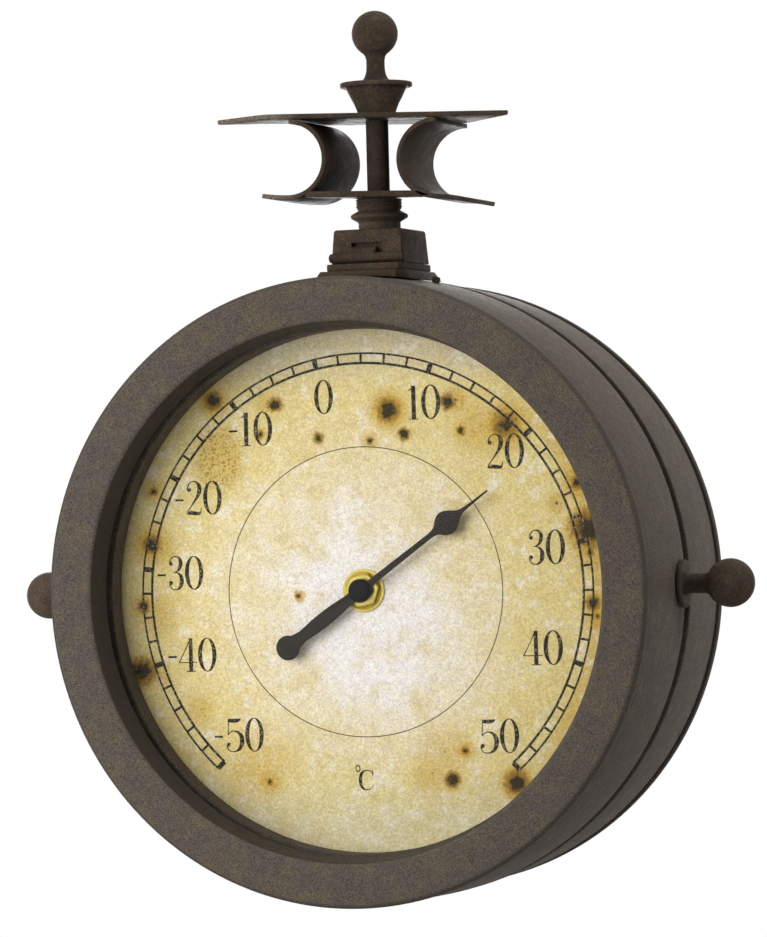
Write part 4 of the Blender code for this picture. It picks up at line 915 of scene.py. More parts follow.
def eased(points, steps=4):
    """A smooth line through points that carry a width, by Catmull and Rom's rule."""
    if len(points) < 4:
        return points
    ends = [points[0], *points, points[-1]]
    line = []
    for i in range(len(points) - 1):
        a, b, c, d = (Vector(p) for p in ends[i:i + 4])
        square, cube = 2 * a - 5 * b + 4 * c - d, 3 * b - a - 3 * c + d
        for k in range(steps):
            t = k / steps
            line.append(tuple(0.5 * (2 * b + (c - a) * t + square * t * t + cube * t ** 3)))
    return line + [points[-1]]


def stroke_sides(points):
    """The two sides of a stroke, from its centre points and half widths."""
    left, right = [], []
    for i, (x, y, half) in enumerate(points):
        before, after = points[max(i - 1, 0)], points[min(i + 1, len(points) - 1)]
        along = Vector((after[0] - before[0], after[1] - before[1])).normalized()
        left.append((x - along.y * half, y + along.x * half))
        right.append((x + along.y * half, y - along.x * half))
    return left, right


def ink_stroke(outline, height, lift):
    """One closed outline given the thickness of the print."""
    draw([(x, y, lift) for x, y in outline])
    bpy.ops.mesh.edge_face_add()
    extrude((0, 0, -height))


def ink_ring(centre, outer, inner, height, lift):
    """A closed bowl whose two outlines differ, so that its sides are thick and its ends thin."""
    before, steps = len(edited().verts), 28
    turns = [math.tau * i / steps for i in range(steps)]
    for half_x, half_y in (outer, inner):
        loop = [(centre[0] + half_x * math.cos(a), centre[1] + half_y * math.sin(a), lift) for a in turns]
        draw(loop, close=True)
    pick_from(before)
    bpy.ops.mesh.bridge_edge_loops()
    extrude((0, 0, -height))


def make_figure(character, size):
    """One printed figure about its own middle, modelled from its strokes."""
    piece = begin("figure_" + {"-": "minus"}.get(character, character))
    middle = FIGURE_WIDTHS[character] / 2
    for i, (kind, *details) in enumerate(FIGURES[character]):
        lift = INK * (1 + 0.12 * i)
        if kind == "line":
            points = [
                ((x - middle) * size, (y - 0.5) * size, half * size)
                for x, y, half in eased(details[0])
            ]
            left, right = stroke_sides(points)
            ink_stroke(left + right[::-1], lift * 0.9, lift)
        elif kind == "dot":
            x, y, radius = details
            outline = arc(((x - middle) * size, (y - 0.5) * size), radius * size, 0, 345, 15)
            ink_stroke(outline, lift * 0.9, lift)
        else:
            x, y, half_x, half_y = details
            centre = ((x - middle) * size, (y - 0.5) * size)
            outer = ((half_x + THICK * 0.98) * size, half_y * size + THIN * size)
            inner = ((half_x - THICK * 0.98) * size, half_y * size - THIN * size)
            ink_ring(centre, outer, inner, lift * 0.9, lift)
    close_shell()
    bpy.ops.object.mode_set(mode="OBJECT")
    return piece


def print_numbers(direction, size, numbers):
    """Figures modelled once each and copied to their numbers, upright on the dial."""
    dial = face_place(direction, DIAL_DEPTH)
    models, pieces = {}, []
    for text, x, z in numbers:
        widths = [FIGURE_WIDTHS[c] * size for c in text]
        left = x - sum(widths) / 2
        for character, width in zip(text, widths):
            if character not in models:
                models[character] = make_figure(character, size)
            pieces.append(copied(models[character], dial @ Matrix.Translation((left + width / 2, z, 0))))
            left += width
    for model in models.values():
        bpy.data.objects.remove(model, do_unlink=True)
    return pieces


def printed_ring(name, direction, radius, width, start=0.0, sweep=360.0, steps=180):
    """A printed line round the dial, over part of a turn or all of it, by angles as seen."""
    inner, outer = radius - width / 2, radius + width / 2
    profile = [(inner, INK), (outer, INK), (outer, INK * 0.1), (inner, INK * 0.1)]
    along = math.radians(start)
    piece = begin(name)
    draw([(r * math.cos(along), r * math.sin(along), h) for r, h in profile], close=True)
    if sweep < 360:
        bpy.ops.mesh.edge_face_add()
        pick(lambda co: True)
        bpy.ops.mesh.spin(steps=steps, angle=math.radians(sweep), center=(0, 0, 0), axis=(0, 0, -1))
    else:
        bpy.ops.mesh.spin(steps=steps, angle=math.tau, center=(0, 0, 0), axis=(0, 0, 1))
    close_shell()
    bpy.ops.object.mode_set(mode="OBJECT")
    set_down(piece, face_place(direction, DIAL_DEPTH))
    return piece


def printed_ticks(name, direction, inner, outer, half, angles):
    """One bar modelled with eased corners, and repeated round the dial."""
    ease = half * 0.3
    corners = [(inner, -half, ease), (outer, -half, ease), (outer, half, ease), (inner, half, ease)]
    model = begin(name)
    ink_stroke(rounded(corners, 2), INK * 1.1, INK * 1.25)
    close_shell()
    bpy.ops.object.mode_set(mode="OBJECT")
    pieces = [copied(model, face_place(direction, DIAL_DEPTH, angle)) for angle in angles]
    bpy.data.objects.remove(model, do_unlink=True)
    return pieces


TEMPERATURES = (
    ("0", -0.0182, 0.0935), ("10", 0.0323, 0.0895), ("20", 0.0727, 0.0650), ("30", 0.0919, 0.0190),
    ("40", 0.0890, -0.0286), ("50", 0.0660, -0.0702), ("-10", -0.0564, 0.0792), ("-20", -0.0843, 0.0465),
    ("-30", -0.0947, 0.0102), ("-40", -0.0895, -0.0297), ("-50", -0.0662, -0.0687),
)
SCALE_START, SCALE_END = -48.0, 228.0
THICK_TICKS = (-48, -18, 12, 42, 72, 102, 126, 150, 174, 198, 228)
# The thermometer's print sits a little low on its dial and is turned by half a degree
PRINT_TURN = Matrix.Rotation(math.radians(0.53), 4, "Y")
PRINT_DROP = Matrix.Translation((0.0002, 0, CASE_Z - 0.0006))
PRINT_PLACE = PRINT_DROP @ PRINT_TURN @ Matrix.Translation((0, 0, -CASE_Z))


def make_thermometer_scale():
    """Rings, bars, numbers and unit of the temperature scale, and the thin circle inside them."""
    sizes = bpy.context.scene.clock_dial
    sweep = SCALE_END - SCALE_START
    lines = [
        printed_ring("outer_ring", "front", sizes.outer_ring, 0.00095, SCALE_START, sweep, 184),
        printed_ring("inner_ring", "front", sizes.inner_ring, 0.00122, SCALE_START, sweep, 184),
    ]
    count = round(sweep / 6)
    fine = [SCALE_START + 6 * i for i in range(count + 1) if round(SCALE_START + 6 * i) not in THICK_TICKS]
    lines += printed_ticks("fine_tick", "front", sizes.inner_ring, sizes.outer_ring, 0.00058, fine)
    lines += printed_ticks("bold_tick", "front", sizes.inner_ring, sizes.outer_ring, 0.00125, THICK_TICKS)
    lines = [joined(lines, "rings")]
    set_down(lines[0], PRINT_PLACE)
    lines += print_numbers("front", sizes.numeral_height, TEMPERATURES)
    lines += print_numbers("front", 0.0096, (("C", -0.0010, -0.0909),))
    degree = printed_ring("degree_ring", "front", 0.0013, 0.00055, 0, 360, 24)
    bpy.ops.object.mode_set(mode="EDIT")
    pick(lambda co: True)
    bpy.ops.transform.resize(value=(0.8, 1, 1.1), center_override=(0, 0, CASE_Z))
    bpy.ops.object.mode_set(mode="OBJECT")
    set_down(degree, Matrix.Translation((-0.0054, 0, -0.0853)))
    scale = joined(lines + [degree], "thermometer_scale")
    dress(scale, finish("worn_ink"), "case", "black_paint")
    circle = printed_ring("thermometer_circle", "front", sizes.thin_circle, 0.00045)
    set_down(circle, PRINT_PLACE)
    dress(circle, finish("faded_ink"), "case", "black_paint")


def make_clock_scale():
    """Minute track, hours and the thin circle inside them."""
    sizes = bpy.context.scene.clock_dial
    lines = [
        printed_ring("minute_outer", "rear", sizes.outer_ring, 0.00085),
        printed_ring("minute_inner", "rear", sizes.inner_ring, 0.00100),
    ]
    lines += printed_ticks(
        "minute_tick", "rear", sizes.inner_ring, sizes.outer_ring, 0.00045,
        [6 * i for i in range(60) if i % 5],
    )
    lines += printed_ticks(
        "hour_tick", "rear", sizes.inner_ring, sizes.outer_ring, 0.00125, [30 * i for i in range(12)],
    )
    hours = []
    for hour in range(1, 13):
        turn = math.radians(90 - 30 * hour)
        hours.append((str(hour), 0.0910 * math.cos(turn), 0.0910 * math.sin(turn)))
    lines += print_numbers("rear", sizes.numeral_height * 1.1, hours)
    dress(joined(lines, "clock_scale"), finish("worn_ink"), "clock_half", "black_paint")
    circle = printed_ring("clock_circle", "rear", sizes.thin_circle, 0.00045)
    dress(circle, finish("faded_ink"), "clock_half", "black_paint")


# ---------------------------------------------------------------- pointer and hands


def half_outline(upper):
    """A closed outline from its upper half, mirrored in the long axis."""
    return upper + [(x, -y) for x, y in reversed(upper) if abs(y) > TINY]


def pointer_outline():
    """The pointer: round tail, waisted arm, hub, slim shaft, small leaf and long tip."""
    tail, disc, hub = 0.0462, 0.0060, 0.0050
    upper = arc((-tail, 0), disc, 180, 38, 18)
    arm = (
        (0.80, 0.80), (0.72, 0.86), (0.62, 0.96), (0.52, 1.0), (0.42, 0.98), (0.33, 0.92), (0.25, 0.82),
        (0.18, 0.74), (0.12, 0.74),
    )
    upper += [(-tail * run, 0.0036 * width) for run, width in arm]
    upper += arc((0, 0), hub, 140, 19, 14)
    upper += [(0.0100, 0.0016), (0.0435, 0.0013)]
    shape = (
        (0.046, 0.0015), (0.0482, 0.0024), (0.0500, 0.0041), (0.0518, 0.0053), (0.0542, 0.0059),
        (0.0566, 0.0054), (0.0590, 0.0039), (0.0610, 0.0024), (0.0633, 0.0013), (0.067, 0.0008),
        (0.0800, 0.0004),
    )
    upper += [tuple(p) for p in eased([(x, y, 0.0) for x, y in shape], 3)]
    return half_outline([(p[0], p[1]) for p in upper])


def spade_outline(length, half, tail):
    """A spade hand: rounded tail, hub, slim shaft, leaf and tip."""
    shaft = 0.0017
    upper = arc((-tail, 0), shaft * 1.6, 180, 60, 8)
    upper += arc((0, 0), 0.0062, 155, 25, 14) + [(length * 0.55, shaft)]
    leaf = (
        (0.56, 0.22), (0.585, 0.55), (0.62, 0.88), (0.66, 1.0), (0.70, 0.92), (0.74, 0.74), (0.80, 0.42),
        (0.86, 0.20), (0.93, 0.10),
    )
    leaf = eased([(length * run, half * width, 0.0) for run, width in leaf], 3)
    upper += [(x, y) for x, y, _ in leaf] + [(length, 0.0004)]
    return half_outline(upper)


def make_hand(name, outline, lift, thickness, direction, turn, hole, body):
    """A stamped hand with softened edges, on its axis."""
    place = face_place(direction, DIAL_DEPTH - lift - thickness, turn)
    piece = drawn_plate(name, outline, thickness, hole)
    soften(piece, thickness * 0.28, 2)
    set_down(piece, place)
    smooth(piece)
    return dress(piece, finish("black_paint"), body, "black_paint", name)


def make_cap(name, direction, seat, body):
    """A domed cap over the end of an arbor."""
    bottom, top = seat + 0.0003, seat + 0.0027
    profile = [
        (0, top), (0.0019, top - 0.00010), (0.0034, top - 0.00040), (0.0047, top - 0.0009),
        (0.0054, top - 0.0015), (0.0057, top - 0.0020), (0.0057, bottom), (0, bottom),
    ]
    centre = face_place(direction, DIAL_DEPTH).translation
    piece = turned(name, profile, centre, outwards(direction), 48)
    return dress(piece, finish("black_cap"), body, "black_paint", name)


def make_dial_nut(prefix, direction, body):
    """Hexagon nut with chamfered corners, on a round washer and a turned bush."""
    centre = face_place(direction, DIAL_DEPTH).translation
    out = outwards(direction)
    washer = turned(
        prefix + "_washer",
        rounded(
            [
                (0.0045, 0.0003), (0.0104, 0.0003), (0.0104, 0.0011, 0.0004), (0.0092, 0.0011, 0.0003),
                (0.0088, 0.0008), (0.0045, 0.0008),
            ],
            3,
        ),
        centre, out, 72,
    )
    dress(washer, finish("brass"), body, "brass", prefix + "_washer")
    nut = drawn_plate(prefix + "_nut", arc((0, 0), 0.0083, 0, 300, 5), 0.0020, 0.0045)
    chamfer = turned(
        "chamfer",
        [(0.0110, 0.0010), (0.0110, -0.0026), (0.0082, -0.0026), (0.0082, -0.00065), (0.0066, 0.0010)],
        (0, 0, 0), UP, 64,
    )
    cut(nut, chamfer)
    soften(nut, 0.00025, 2)
    set_down(nut, face_place(direction, DIAL_DEPTH - 0.0034, 12))
    smooth(nut)
    dress(nut, finish("brass"), body, "brass", prefix + "_nut")


# ---------------------------------------------------------------- bracket


def make_finial():
    """Ball, neck, flange and cone turned in one piece."""
    profile = arc((0, 0.0398), 0.0113, 90, -58, 26)
    profile[0] = (0, 0.0511)
    profile += [(0.0049, 0.0288), (0.0045, 0.0268), (0.0045, 0.0250)]
    flare = [math.radians(a) for a in range(0, 91, 10)]
    profile += [(0.0045 + 0.0031 * (1 - math.cos(a)), 0.0240 - 0.0070 * math.sin(a)) for a in flare]
    edge = rounded(
        [(0.0076, 0.0164, 0.0006), (0.0177, 0.0160, 0.0009), (0.0177, 0.0135, 0.0009), (0.0150, 0.0135)], 4,
    )
    profile += edge[1:]
    profile += [
        (0.0140, 0.0116), (0.0126, 0.0086), (0.0110, 0.0058), (0.0098, 0.0028), (0.0090, 0.0003),
        (0.0034, 0.0003), (0.0034, 0.0148), (0, 0.0148),
    ]
    piece = turned("top_finial", profile, (0, 0, 0), UP, 80)
    return dress(piece, finish("dark_brown"), "bracket", "dark_brown", "top_finial")


# The plates and scrolls lean a little, down at the right, about the middle of the post
LEAN = Matrix.Rotation(math.radians(2.0), 4, "Y")
BENT = Matrix.Translation((0, 0, -0.0222)) @ LEAN @ Matrix.Translation((0, 0, 0.0218))
# The upper plate's left end is bent down by so many degrees, in three equal steps
WING_BEND = 6.0
WING_STEPS = (0.046, 0.050, 0.054)


def make_plates():
    """The upper plate with its slanted ends, and the crossbar below with a round tongue."""
    front, thick = 0.0745, 0.0023
    outline = [(-front, -PLATE_BACK), (front, -PLATE_BACK), (0.0375, PLATE_BACK), (-0.0375, PLATE_BACK)]
    upper = drawn_plate("upper_plate", outline, thick, ROD_HOLE)
    bpy.ops.object.mode_set(mode="EDIT")
    for reach in WING_STEPS:
        bpy.ops.mesh.select_all(action="SELECT")
        bpy.ops.mesh.bisect(plane_co=(-reach, 0, 0), plane_no=RIGHT)
        pick(lambda co: co.x < -reach - TINY)
        bpy.ops.transform.rotate(
            value=math.radians(WING_BEND / len(WING_STEPS)), orient_axis="Y",
            center_override=(-reach, 0, -thick / 2),
        )
    bpy.ops.object.mode_set(mode="OBJECT")
    soften(upper, PLATE_EDGE, 2)
    set_down(upper, BENT)
    smooth(upper)
    dress(upper, finish("worn_iron"), "bracket", "dark_brown", "upper_plate")
    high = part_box("lower_plate")[1]
    left, right, narrow, neck = high.x + 0.0050, high.x + 0.0110, 0.0095, -PLATE_BACK + 0.0085
    tongue = arc((0, 0), narrow, 0, 180, 24)
    outline = [(-left, -PLATE_BACK), (right, -PLATE_BACK), (right - 0.0015, neck), (narrow, neck + 0.0050)]
    outline += [*tongue, (-narrow, neck + 0.0050), (0.0015 - left, neck)]
    lower = drawn_plate("lower_plate", outline, 0.0029, ROD_HOLE)
    soften(lower, PLATE_EDGE, 2)
    set_down(lower, BENT @ Matrix.Translation((0, 0, high.z + 0.0006)))
    smooth(lower)
    dress(lower, finish("dark_brown"), "bracket", "dark_brown", "lower_plate")


def make_scroll(name, side, end, lift):
    """A half round of strip that bulges to the post, with a leg that runs out below."""
    strip, gap, above, below = 0.0022, 0.0003, -0.0023, -0.0419
    middle = (above + below) / 2
    radius = (above - below) / 2 - gap - strip / 2
    centre = 0.0177 + (above - below) / 2
    half_round = arc((-centre, middle), radius, 90, -90, 40)
    leg = end - centre
    tail = [
        (-centre - leg * run, middle - radius + lift * run * run)
        for run in (0.15, 0.35, 0.55, 0.75, 0.90, 1.0)
    ]
    piece = begin(name)
    draw([(side * x, -PLATE_BACK, z) for x, z in half_round + tail])
    extrude((0, 2 * PLATE_BACK, 0))
    bpy.ops.mesh.select_all(action="SELECT")
    bpy.ops.mesh.normals_make_consistent(inside=False)
    bpy.ops.object.mode_set(mode="OBJECT")
    modify(piece, "SOLIDIFY", thickness=strip, offset=0.0, use_even_offset=True)
    soften(piece, PLATE_EDGE, 2, math.radians(50))
    set_down(piece, BENT)
    smooth(piece)
    return dress(piece, finish("worn_iron"), "bracket", "dark_brown", name)


def make_post():
    """The sleeve round the rod that holds the plates apart."""
    top, bottom, radius = -0.0026, -0.0377, 0.0055
    corners = [(ROD_HOLE, top), (radius, top, 0.0003), (radius, bottom, 0.0003), (ROD_HOLE, bottom)]
    piece = turned("spacer_post", rounded(corners, 3), (0, 0, 0), UP, 64)
    return dress(piece, finish("dark_brown"), "bracket", "dark_brown", "spacer_post")


def make_collar():
    """A band of fine rings over a waist with one sharp bulge."""
    top, bottom = -0.0409, -0.0559
    profile = [(ROD_HOLE, top), (0.0109, top), (0.0113, top - 0.0004)]
    for i in range(3):
        base = top - 0.0016 * i
        profile += [
            (0.0113, base - 0.0006), (0.0110, base - 0.0009), (0.0108, base - 0.0012),
            (0.0110, base - 0.0015),
        ]
    profile += rounded([
        (0.0104, top - 0.0052), (0.0103, top - 0.0056, 0.0006), (0.0153, top - 0.0084, 0.0012),
        (0.0103, top - 0.0113, 0.0008), (0.0103, bottom), (ROD_HOLE, bottom),
    ], 5)
    piece = turned("swivel_collar", profile, (0, 0, 0), UP, 80)
    # painted light: the collar, in shade under the plate, gets a brighter copy of the iron
    return dress(piece, finish("brightened_iron"), "bracket", "dark_brown", "swivel_collar")


# ---------------------------------------------------------------- hanger and knobs


def make_hanger_block():
    """Foot of the swivel: tapered, with rounded edges, a bore and a slot in front."""
    low, high = Vector(BLOCK_LOW), Vector(BLOCK_HIGH)
    piece = block("hanger_block", low - Vector((0, 0, 0.003)), high + Vector((0, 0, 0.001)))
    bpy.ops.object.mode_set(mode="EDIT")
    pick(lambda co: co.z > high.z - TINY)
    bpy.ops.transform.resize(value=(0.974, 1, 1), center_override=(0, 0, high.z))
    pick(lambda co: co.z < low.z)
    bpy.ops.transform.resize(value=(1.08, 1, 1), center_override=(0, 0, low.z))
    bpy.ops.object.mode_set(mode="OBJECT")
    soften(piece, 0.0014, 4)
    cut(piece, block("foot", (2 * low.x, 2 * low.y, low.z - 0.006), (2 * high.x, 2 * high.y, low.z)))
    slot = block("slot", (-0.0080, low.y - 0.004, high.z - 0.0107), (0.0080, low.y + 0.0030, high.z - 0.0055))
    cut(piece, slot)
    # a bore for the rod, and a pocket for its nut below
    for radius, top, bottom in ((ROD_HOLE, -0.03, -0.23), (0.0085, low.z + 0.0075, low.z - 0.004)):
        cut(
            piece,
            turned("bore", [(0, top), (radius, top), (radius, bottom), (0, bottom)], (0, 0, 0), UP, 32),
        )
    smooth(piece)
    # its finish paints shade on the block's right-hand side
    return dress(piece, finish("right_shaded_iron"), "case", "dark_brown", "hanger_block")


def make_hanger_base():
    """The flat step between block and saddle."""
    low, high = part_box("hanger_base")
    piece = block("hanger_base", (low.x, low.y, high.z - 0.0034), high)
    soften(piece, 0.0006, 3)
    smooth(piece)
    return dress(piece, finish("right_shaded_iron"), "case", "dark_brown", "hanger_base")


def make_crossbar():
    """The round bar under the latch, with rounded ends."""
    low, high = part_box("hanger_crossbar")
    middle = (low + high) / 2
    half = (high.x - low.x) / 2
    profile = rounded([(0, half), (0.00225, half, 0.0010), (0.00225, -half, 0.0010), (0, -half)], 5)
    piece = turned("hanger_crossbar", profile, (0, middle.y, middle.z), RIGHT, 40)
    return dress(piece, finish("dark_brown"), "case", "dark_brown", "hanger_crossbar")


def make_latch_tongue():
    """The latch: it fills the slot's lower part and reaches out onto the crossbar."""
    slot, bar = BLOCK_HIGH.z - 0.0055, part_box("hanger_crossbar")[1].z
    front, back = BLOCK_LOW.y - 0.0003, BLOCK_LOW.y + 0.0027
    piece = block("latch_tongue", (-0.0079, front, bar - 0.0003), (0.0045, back, slot - 0.0021))
    bpy.ops.object.mode_set(mode="EDIT")
    pick(lambda co: co.y < front + TINY and co.z < bar)
    bpy.ops.transform.translate(value=(0, -0.0028, 0))
    bpy.ops.object.mode_set(mode="OBJECT")
    soften(piece, 0.0005, 3)
    smooth(piece)
    return dress(piece, finish("dark_brown"), "case", "dark_brown", "latch_tongue")


def make_saddle():
    """Saddle on the drum's crown, flat above and thin at its ends, and a screw beside each end."""
    low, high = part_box("hanger_saddle")
    seat, flat = 0.1512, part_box("hanger_base")[1].z - 0.0036
    spread = math.degrees(math.asin(0.0246 / seat))
    foot = arc((0, CASE_Z), seat, 90 - spread, 90 + spread, 24)
    outline = [
        *foot, (-0.0242, foot[-1][1] + 0.0009), (-0.0212, flat), (0.0212, flat),
        (0.0242, foot[0][1] + 0.0009),
    ]
    piece = begin("hanger_saddle")
    draw([(x, low.y, z) for x, z in outline])
    bpy.ops.mesh.edge_face_add()
    extrude((0, high.y - low.y, 0))
    close_shell()
    bpy.ops.object.mode_set(mode="OBJECT")
    soften(piece, 0.0004, 2, math.radians(50))
    smooth(piece)
    dress(piece, finish("right_shaded_iron"), "case", "dark_brown", "hanger_saddle")
    for side, name in ((-1, "saddle_screw_left"), (1, "saddle_screw_right")):
        lean = side * math.asin(0.0315 / DRUM_RIM)
        top, bottom = DRUM_RIM + 0.0027, DRUM_RIM - 0.0032
        corners = [
            (0, top), (0.0019, top, 0.0008), (0.0019, DRUM_RIM), (0.0011, DRUM_RIM), (0.0011, bottom),
            (0, bottom),
        ]
        screw = turned(name, rounded(corners, 4), (0, 0, 0), UP, 32)
        set_down(screw, Matrix.Translation((0, -0.0100, CASE_Z)) @ Matrix.Rotation(lean, 4, "Y"))
        dress(screw, finish("dark_brown"), "case", "dark_brown", name)


def make_knob(name, side, body):
    """Ball, stem and flange turned in one piece with the thread that clamps the halves."""
    seat, ball = 0.1513, 0.1747
    profile = arc((0, ball), 0.0116, 90, -62, 26)
    profile[0] = (0, ball + 0.0116)
    flange, tip = seat + 0.0016, seat - 0.0130
    profile += [
        (0.0050, ball - 0.0112), (0.0047, ball - 0.0125), (0.0047, seat + 0.0052), (0.0049, seat + 0.0036),
        (0.0053, seat + 0.0024), (0.0060, flange),
    ]
    profile += rounded([
        (0.0075, flange), (0.0115, flange, 0.0006), (0.0115, seat), (0.0030, seat), (0.0030, tip), (0, tip),
    ], 4)
    piece = turned(name, profile, (0, KNOB_Y, CASE_Z), RIGHT * side, 80)
    # painted light: the left knob, which faces the light, gets a brighter copy of the iron than the right one
    return dress(piece, finish("brightened_iron" if side < 0 else "dark_brown"), body, "dark_brown", name)


# ---------------------------------------------------------------- stage


FLOOR_DROP = 0.55
PLAIN_LIGHT = 0.15
# name, place, size and power of each lamp
LAMPS = (
    ("key", (-0.75, -1.25, 0.02), 1.3, 24.0),
    ("side", (1.50, -0.10, 0.45), 0.7, 11.0),
    ("top", (0.15, 0.10, 1.50), 1.2, 18.0),
    ("back", (-0.70, 1.40, 0.10), 0.9, 14.0),
)


def make_floor():
    """Pale floor below the clock."""
    pale = bpy.data.materials.new("stage_pale")
    pale.use_nodes = True
    shader = pale.node_tree.nodes["Principled BSDF"]
    shader.inputs["Base Color"].default_value = (0.55, 0.55, 0.54, 1)
    shader.inputs["Roughness"].default_value = 0.9
    shader.inputs["Specular IOR Level"].default_value = 0.1
    bpy.ops.object.select_all(action="DESELECT")
    bpy.ops.mesh.primitive_plane_add(size=4.2, location=(0, 0, packed_bounds[0][2] - FLOOR_DROP))
    floor = bpy.context.object
    floor.name = floor.data.name = "floor"
    floor.data.materials.append(pale)
    bpy.ops.object.transform_apply(location=True)


def make_world():
    """Weak plain light from all round. Seen, mirrored or looked through, it is a white backdrop."""
    world = bpy.data.worlds.new("studio")
    bpy.context.scene.world = world
    world.use_nodes = True
    tree = world.node_tree
    tree.nodes.clear()

    def add(kind, *inputs):
        made = tree.nodes.new("ShaderNode" + kind)
        for socket, value in zip(made.inputs, inputs):
            if isinstance(value, bpy.types.NodeSocket):
                tree.links.new(value, socket)
            else:
                socket.default_value = value
        return made

    rays = add("LightPath").outputs
    seen = rays["Is Camera Ray"]
    for ray in ("Is Transmission Ray", "Is Glossy Ray"):
        either = add("Math", seen, rays[ray])
        either.operation = "MAXIMUM"
        seen = either.outputs[0]
    plain, white = (add("Background", (1, 1, 1, 1), strength).outputs[0] for strength in (PLAIN_LIGHT, 1.0))
    add("OutputWorld", add("MixShader", seen, plain, white).outputs[0])


def make_lamps():
    """Soft lamps that look at the case. The key lamp isn't mirrored in the glass."""
    target = Vector((0, 0, CASE_Z))
    for name, place, size, power in LAMPS:
        bpy.ops.object.light_add(type="AREA", location=place)
        lamp = bpy.context.object
        lamp.name = lamp.data.name = name
        lamp.data.size = size
        lamp.data.energy = power
        lamp.rotation_euler = (target - Vector(place)).to_track_quat("-Z", "Y").to_euler()
        lamp.visible_glossy = name != "key"


def make_camera():
    """The camera at the photograph's angle."""
    bpy.ops.object.camera_add(location=(0, 0, 0))
    camera = bpy.context.object
    camera.name = camera.data.name = "view"
    camera.matrix_world = Matrix((
        (0.944068, 0.026302, 0.328701, 0.73772),
        (0.328767, 0.001899, -0.944409, -2.12293),
        (-0.025464, 0.999652, -0.006854, -0.18755),
        (0, 0, 0, 1),
    ))
    camera.data.lens = 177.2
    camera.data.sensor_width = 36.0
    camera.data.clip_start = 0.1
    bpy.context.scene.camera = camera
    bpy.context.scene.view_settings.view_transform = "Standard"


# ---------------------------------------------------------------- operators


class ClockOperator:
    """What every operator of the clock shares."""

    bl_options = {"REGISTER", "UNDO"}


class OBJECT_OT_clock_stage(ClockOperator, bpy.types.Operator):
    """Set up the floor, the lamps, the world and the camera"""

    bl_idname = "object.clock_stage"
    bl_label = "Stage"

    def execute(self, context):
        make_floor()
        make_world()
        make_lamps()
        make_camera()
        return {"FINISHED"}


class OBJECT_OT_clock_case(ClockOperator, bpy.types.Operator):
    """Turn both drums, both bezels and the spacers behind them"""

    bl_idname = "object.clock_case"
    bl_label = "Case"

    def execute(self, context):
        for direction, body in HALVES:
            make_drum(direction + "_drum", direction, body)
            make_bezel(direction + "_bezel", direction, body)
            make_spacer(direction + "_spacer", direction, body)
        return {"FINISHED"}


class OBJECT_OT_clock_glass(ClockOperator, bpy.types.Operator):
    """Lay the glass of both faces"""

    bl_idname = "object.clock_glass"
    bl_label = "Glass"

    def execute(self, context):
        for direction, body in HALVES:
            make_glass(direction + "_glass", direction, body)
        return {"FINISHED"}


class OBJECT_OT_clock_dials(ClockOperator, bpy.types.Operator):
    """Make both aged dials and the nuts at their middle"""

    bl_idname = "object.clock_dials"
    bl_label = "Dials"

    def execute(self, context):
        make_dial("thermometer_dial", "front", "case")
        make_dial("clock_dial", "rear", "clock_half")
        make_dial_nut("thermometer", "front", "case")
        make_dial_nut("clock", "rear", "clock_half")
        return {"FINISHED"}


class OBJECT_OT_clock_scales(ClockOperator, bpy.types.Operator):
    """Print the temperature scale and the hours"""

    bl_idname = "object.clock_scales"
    bl_label = "Printed scales"

    def execute(self, context):
        make_thermometer_scale()
        make_clock_scale()
        return {"FINISHED"}


class OBJECT_OT_clock_hands(ClockOperator, bpy.types.Operator):
    """Stamp the thermometer pointer and the clock hands"""

    bl_idname = "object.clock_hands"
    bl_label = "Pointer and hands"

    def execute(self, context):
        turn = math.degrees(context.scene.clock_dial.temperature)
        make_hand(
            "thermometer_pointer", pointer_outline(), 0.0050, 0.0010, "front", turn, 0.0016,
            "temperature_hand",
        )
        make_cap("pointer_cap", "front", 0.0060, "temperature_hand")
        make_hand(
            "hour_hand", spade_outline(0.062, 0.0085, 0.016), 0.0042, 0.0008, "rear", 145, 0.0030, "hour",
        )
        make_hand(
            "minute_hand", spade_outline(0.096, 0.0060, 0.020), 0.0060, 0.0008, "rear", 30, 0.0016, "minute",
        )
        make_cap("hand_cap", "rear", 0.0068, "minute")
        return {"FINISHED"}


class OBJECT_OT_clock_bracket(ClockOperator, bpy.types.Operator):
    """Build the bracket: finial, plates, scrolls, post and swivel collar"""

    bl_idname = "object.clock_bracket"
    bl_label = "Bracket"

    def execute(self, context):
        make_finial()
        make_plates()
        make_scroll("scroll_left", 1, 0.0508, 0.00085)
        make_scroll("scroll_right", -1, 0.0520, -0.0017)
        make_post()
        make_collar()
        return {"FINISHED"}


class OBJECT_OT_clock_hanger(ClockOperator, bpy.types.Operator):
    """Build the hanger on the drum's crown"""

    bl_idname = "object.clock_hanger"
    bl_label = "Hanger"

    def execute(self, context):
        make_hanger_block()
        make_hanger_base()
        make_crossbar()
        make_latch_tongue()
        make_saddle()
        return {"FINISHED"}


class OBJECT_OT_clock_knobs(ClockOperator, bpy.types.Operator):
    """Turn the two side knobs"""

    bl_idname = "object.clock_knobs"
    bl_label = "Side knobs"

    def execute(self, context):
        make_knob("left_knob", -1, "left_thumbscrew")
        make_knob("right_knob", 1, "right_thumbscrew")
        return {"FINISHED"}


INNER_FINISHES = {
    "steel": "tie_rod swivel_nut left_clamp_nut right_clamp_nut thermometer_can bimetal_coil coil_post "
             "thermometer_arbor minute_arbor contact_plus contact_minus",
    "brass": "thermometer_bush clock_bush hour_pipe",
    "black_rubber": "front_gasket rear_gasket",
    "black_plastic": "front_retainer rear_retainer movement_case set_wheel",
    "cell_jacket": "battery",
}


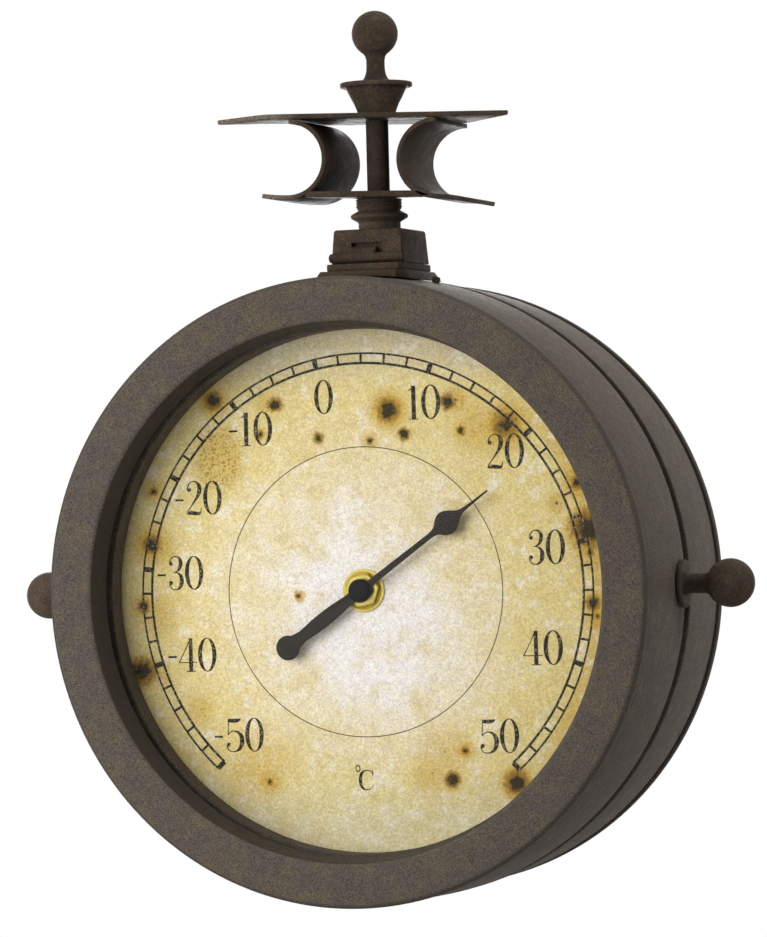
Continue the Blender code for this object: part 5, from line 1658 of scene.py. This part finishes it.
class OBJECT_OT_clock_inner_parts(ClockOperator, bpy.types.Operator):
    """Give the pieces inside the case their finishes"""

    bl_idname = "object.clock_inner_parts"
    bl_label = "Inner parts"

    def execute(self, context):
        for name, members in INNER_FINISHES.items():
            for member in members.split():
                for slot in nodes[member].material_slots:
                    slot.material = finish(name)
        return {"FINISHED"}


class VIEW3D_PT_garden_clock(bpy.types.Panel):
    """The clock's sizes, colours and steps"""

    bl_label = "Garden clock"
    bl_space_type = "VIEW_3D"
    bl_region_type = "UI"
    bl_category = "Garden clock"

    def draw(self, context):
        for title, group in (("Case", "clock_case"), ("Dial", "clock_dial"), ("Colours", "clock_colours")):
            box = self.layout.box()
            box.label(text=title)
            settings = getattr(context.scene, group)
            for name in settings.__annotations__:
                box.prop(settings, name)
        for operator in OPERATORS:
            self.layout.operator(operator.bl_idname)


OPERATORS = (
    OBJECT_OT_clock_stage, OBJECT_OT_clock_case, OBJECT_OT_clock_glass, OBJECT_OT_clock_dials,
    OBJECT_OT_clock_scales, OBJECT_OT_clock_hands, OBJECT_OT_clock_bracket, OBJECT_OT_clock_hanger,
    OBJECT_OT_clock_knobs, OBJECT_OT_clock_inner_parts,
)
CLASSES = (CaseSizes, DialSizes, Colours, *OPERATORS, VIEW3D_PT_garden_clock)


def register():
    for made in CLASSES:
        bpy.utils.register_class(made)
    bpy.types.Scene.clock_case = bpy.props.PointerProperty(type=CaseSizes)
    bpy.types.Scene.clock_dial = bpy.props.PointerProperty(type=DialSizes)
    bpy.types.Scene.clock_colours = bpy.props.PointerProperty(type=Colours)


def unregister():
    del bpy.types.Scene.clock_case
    del bpy.types.Scene.clock_dial
    del bpy.types.Scene.clock_colours
    for made in reversed(CLASSES):
        bpy.utils.unregister_class(made)


def main():
    register()
    bpy.ops.object.clock_stage()
    bpy.ops.object.clock_case()
    bpy.ops.object.clock_glass()
    bpy.ops.object.clock_dials()
    bpy.ops.object.clock_scales()
    bpy.ops.object.clock_hands()
    bpy.ops.object.clock_bracket()
    bpy.ops.object.clock_hanger()
    bpy.ops.object.clock_knobs()
    bpy.ops.object.clock_inner_parts()


if __name__ == "__main__":
    main()
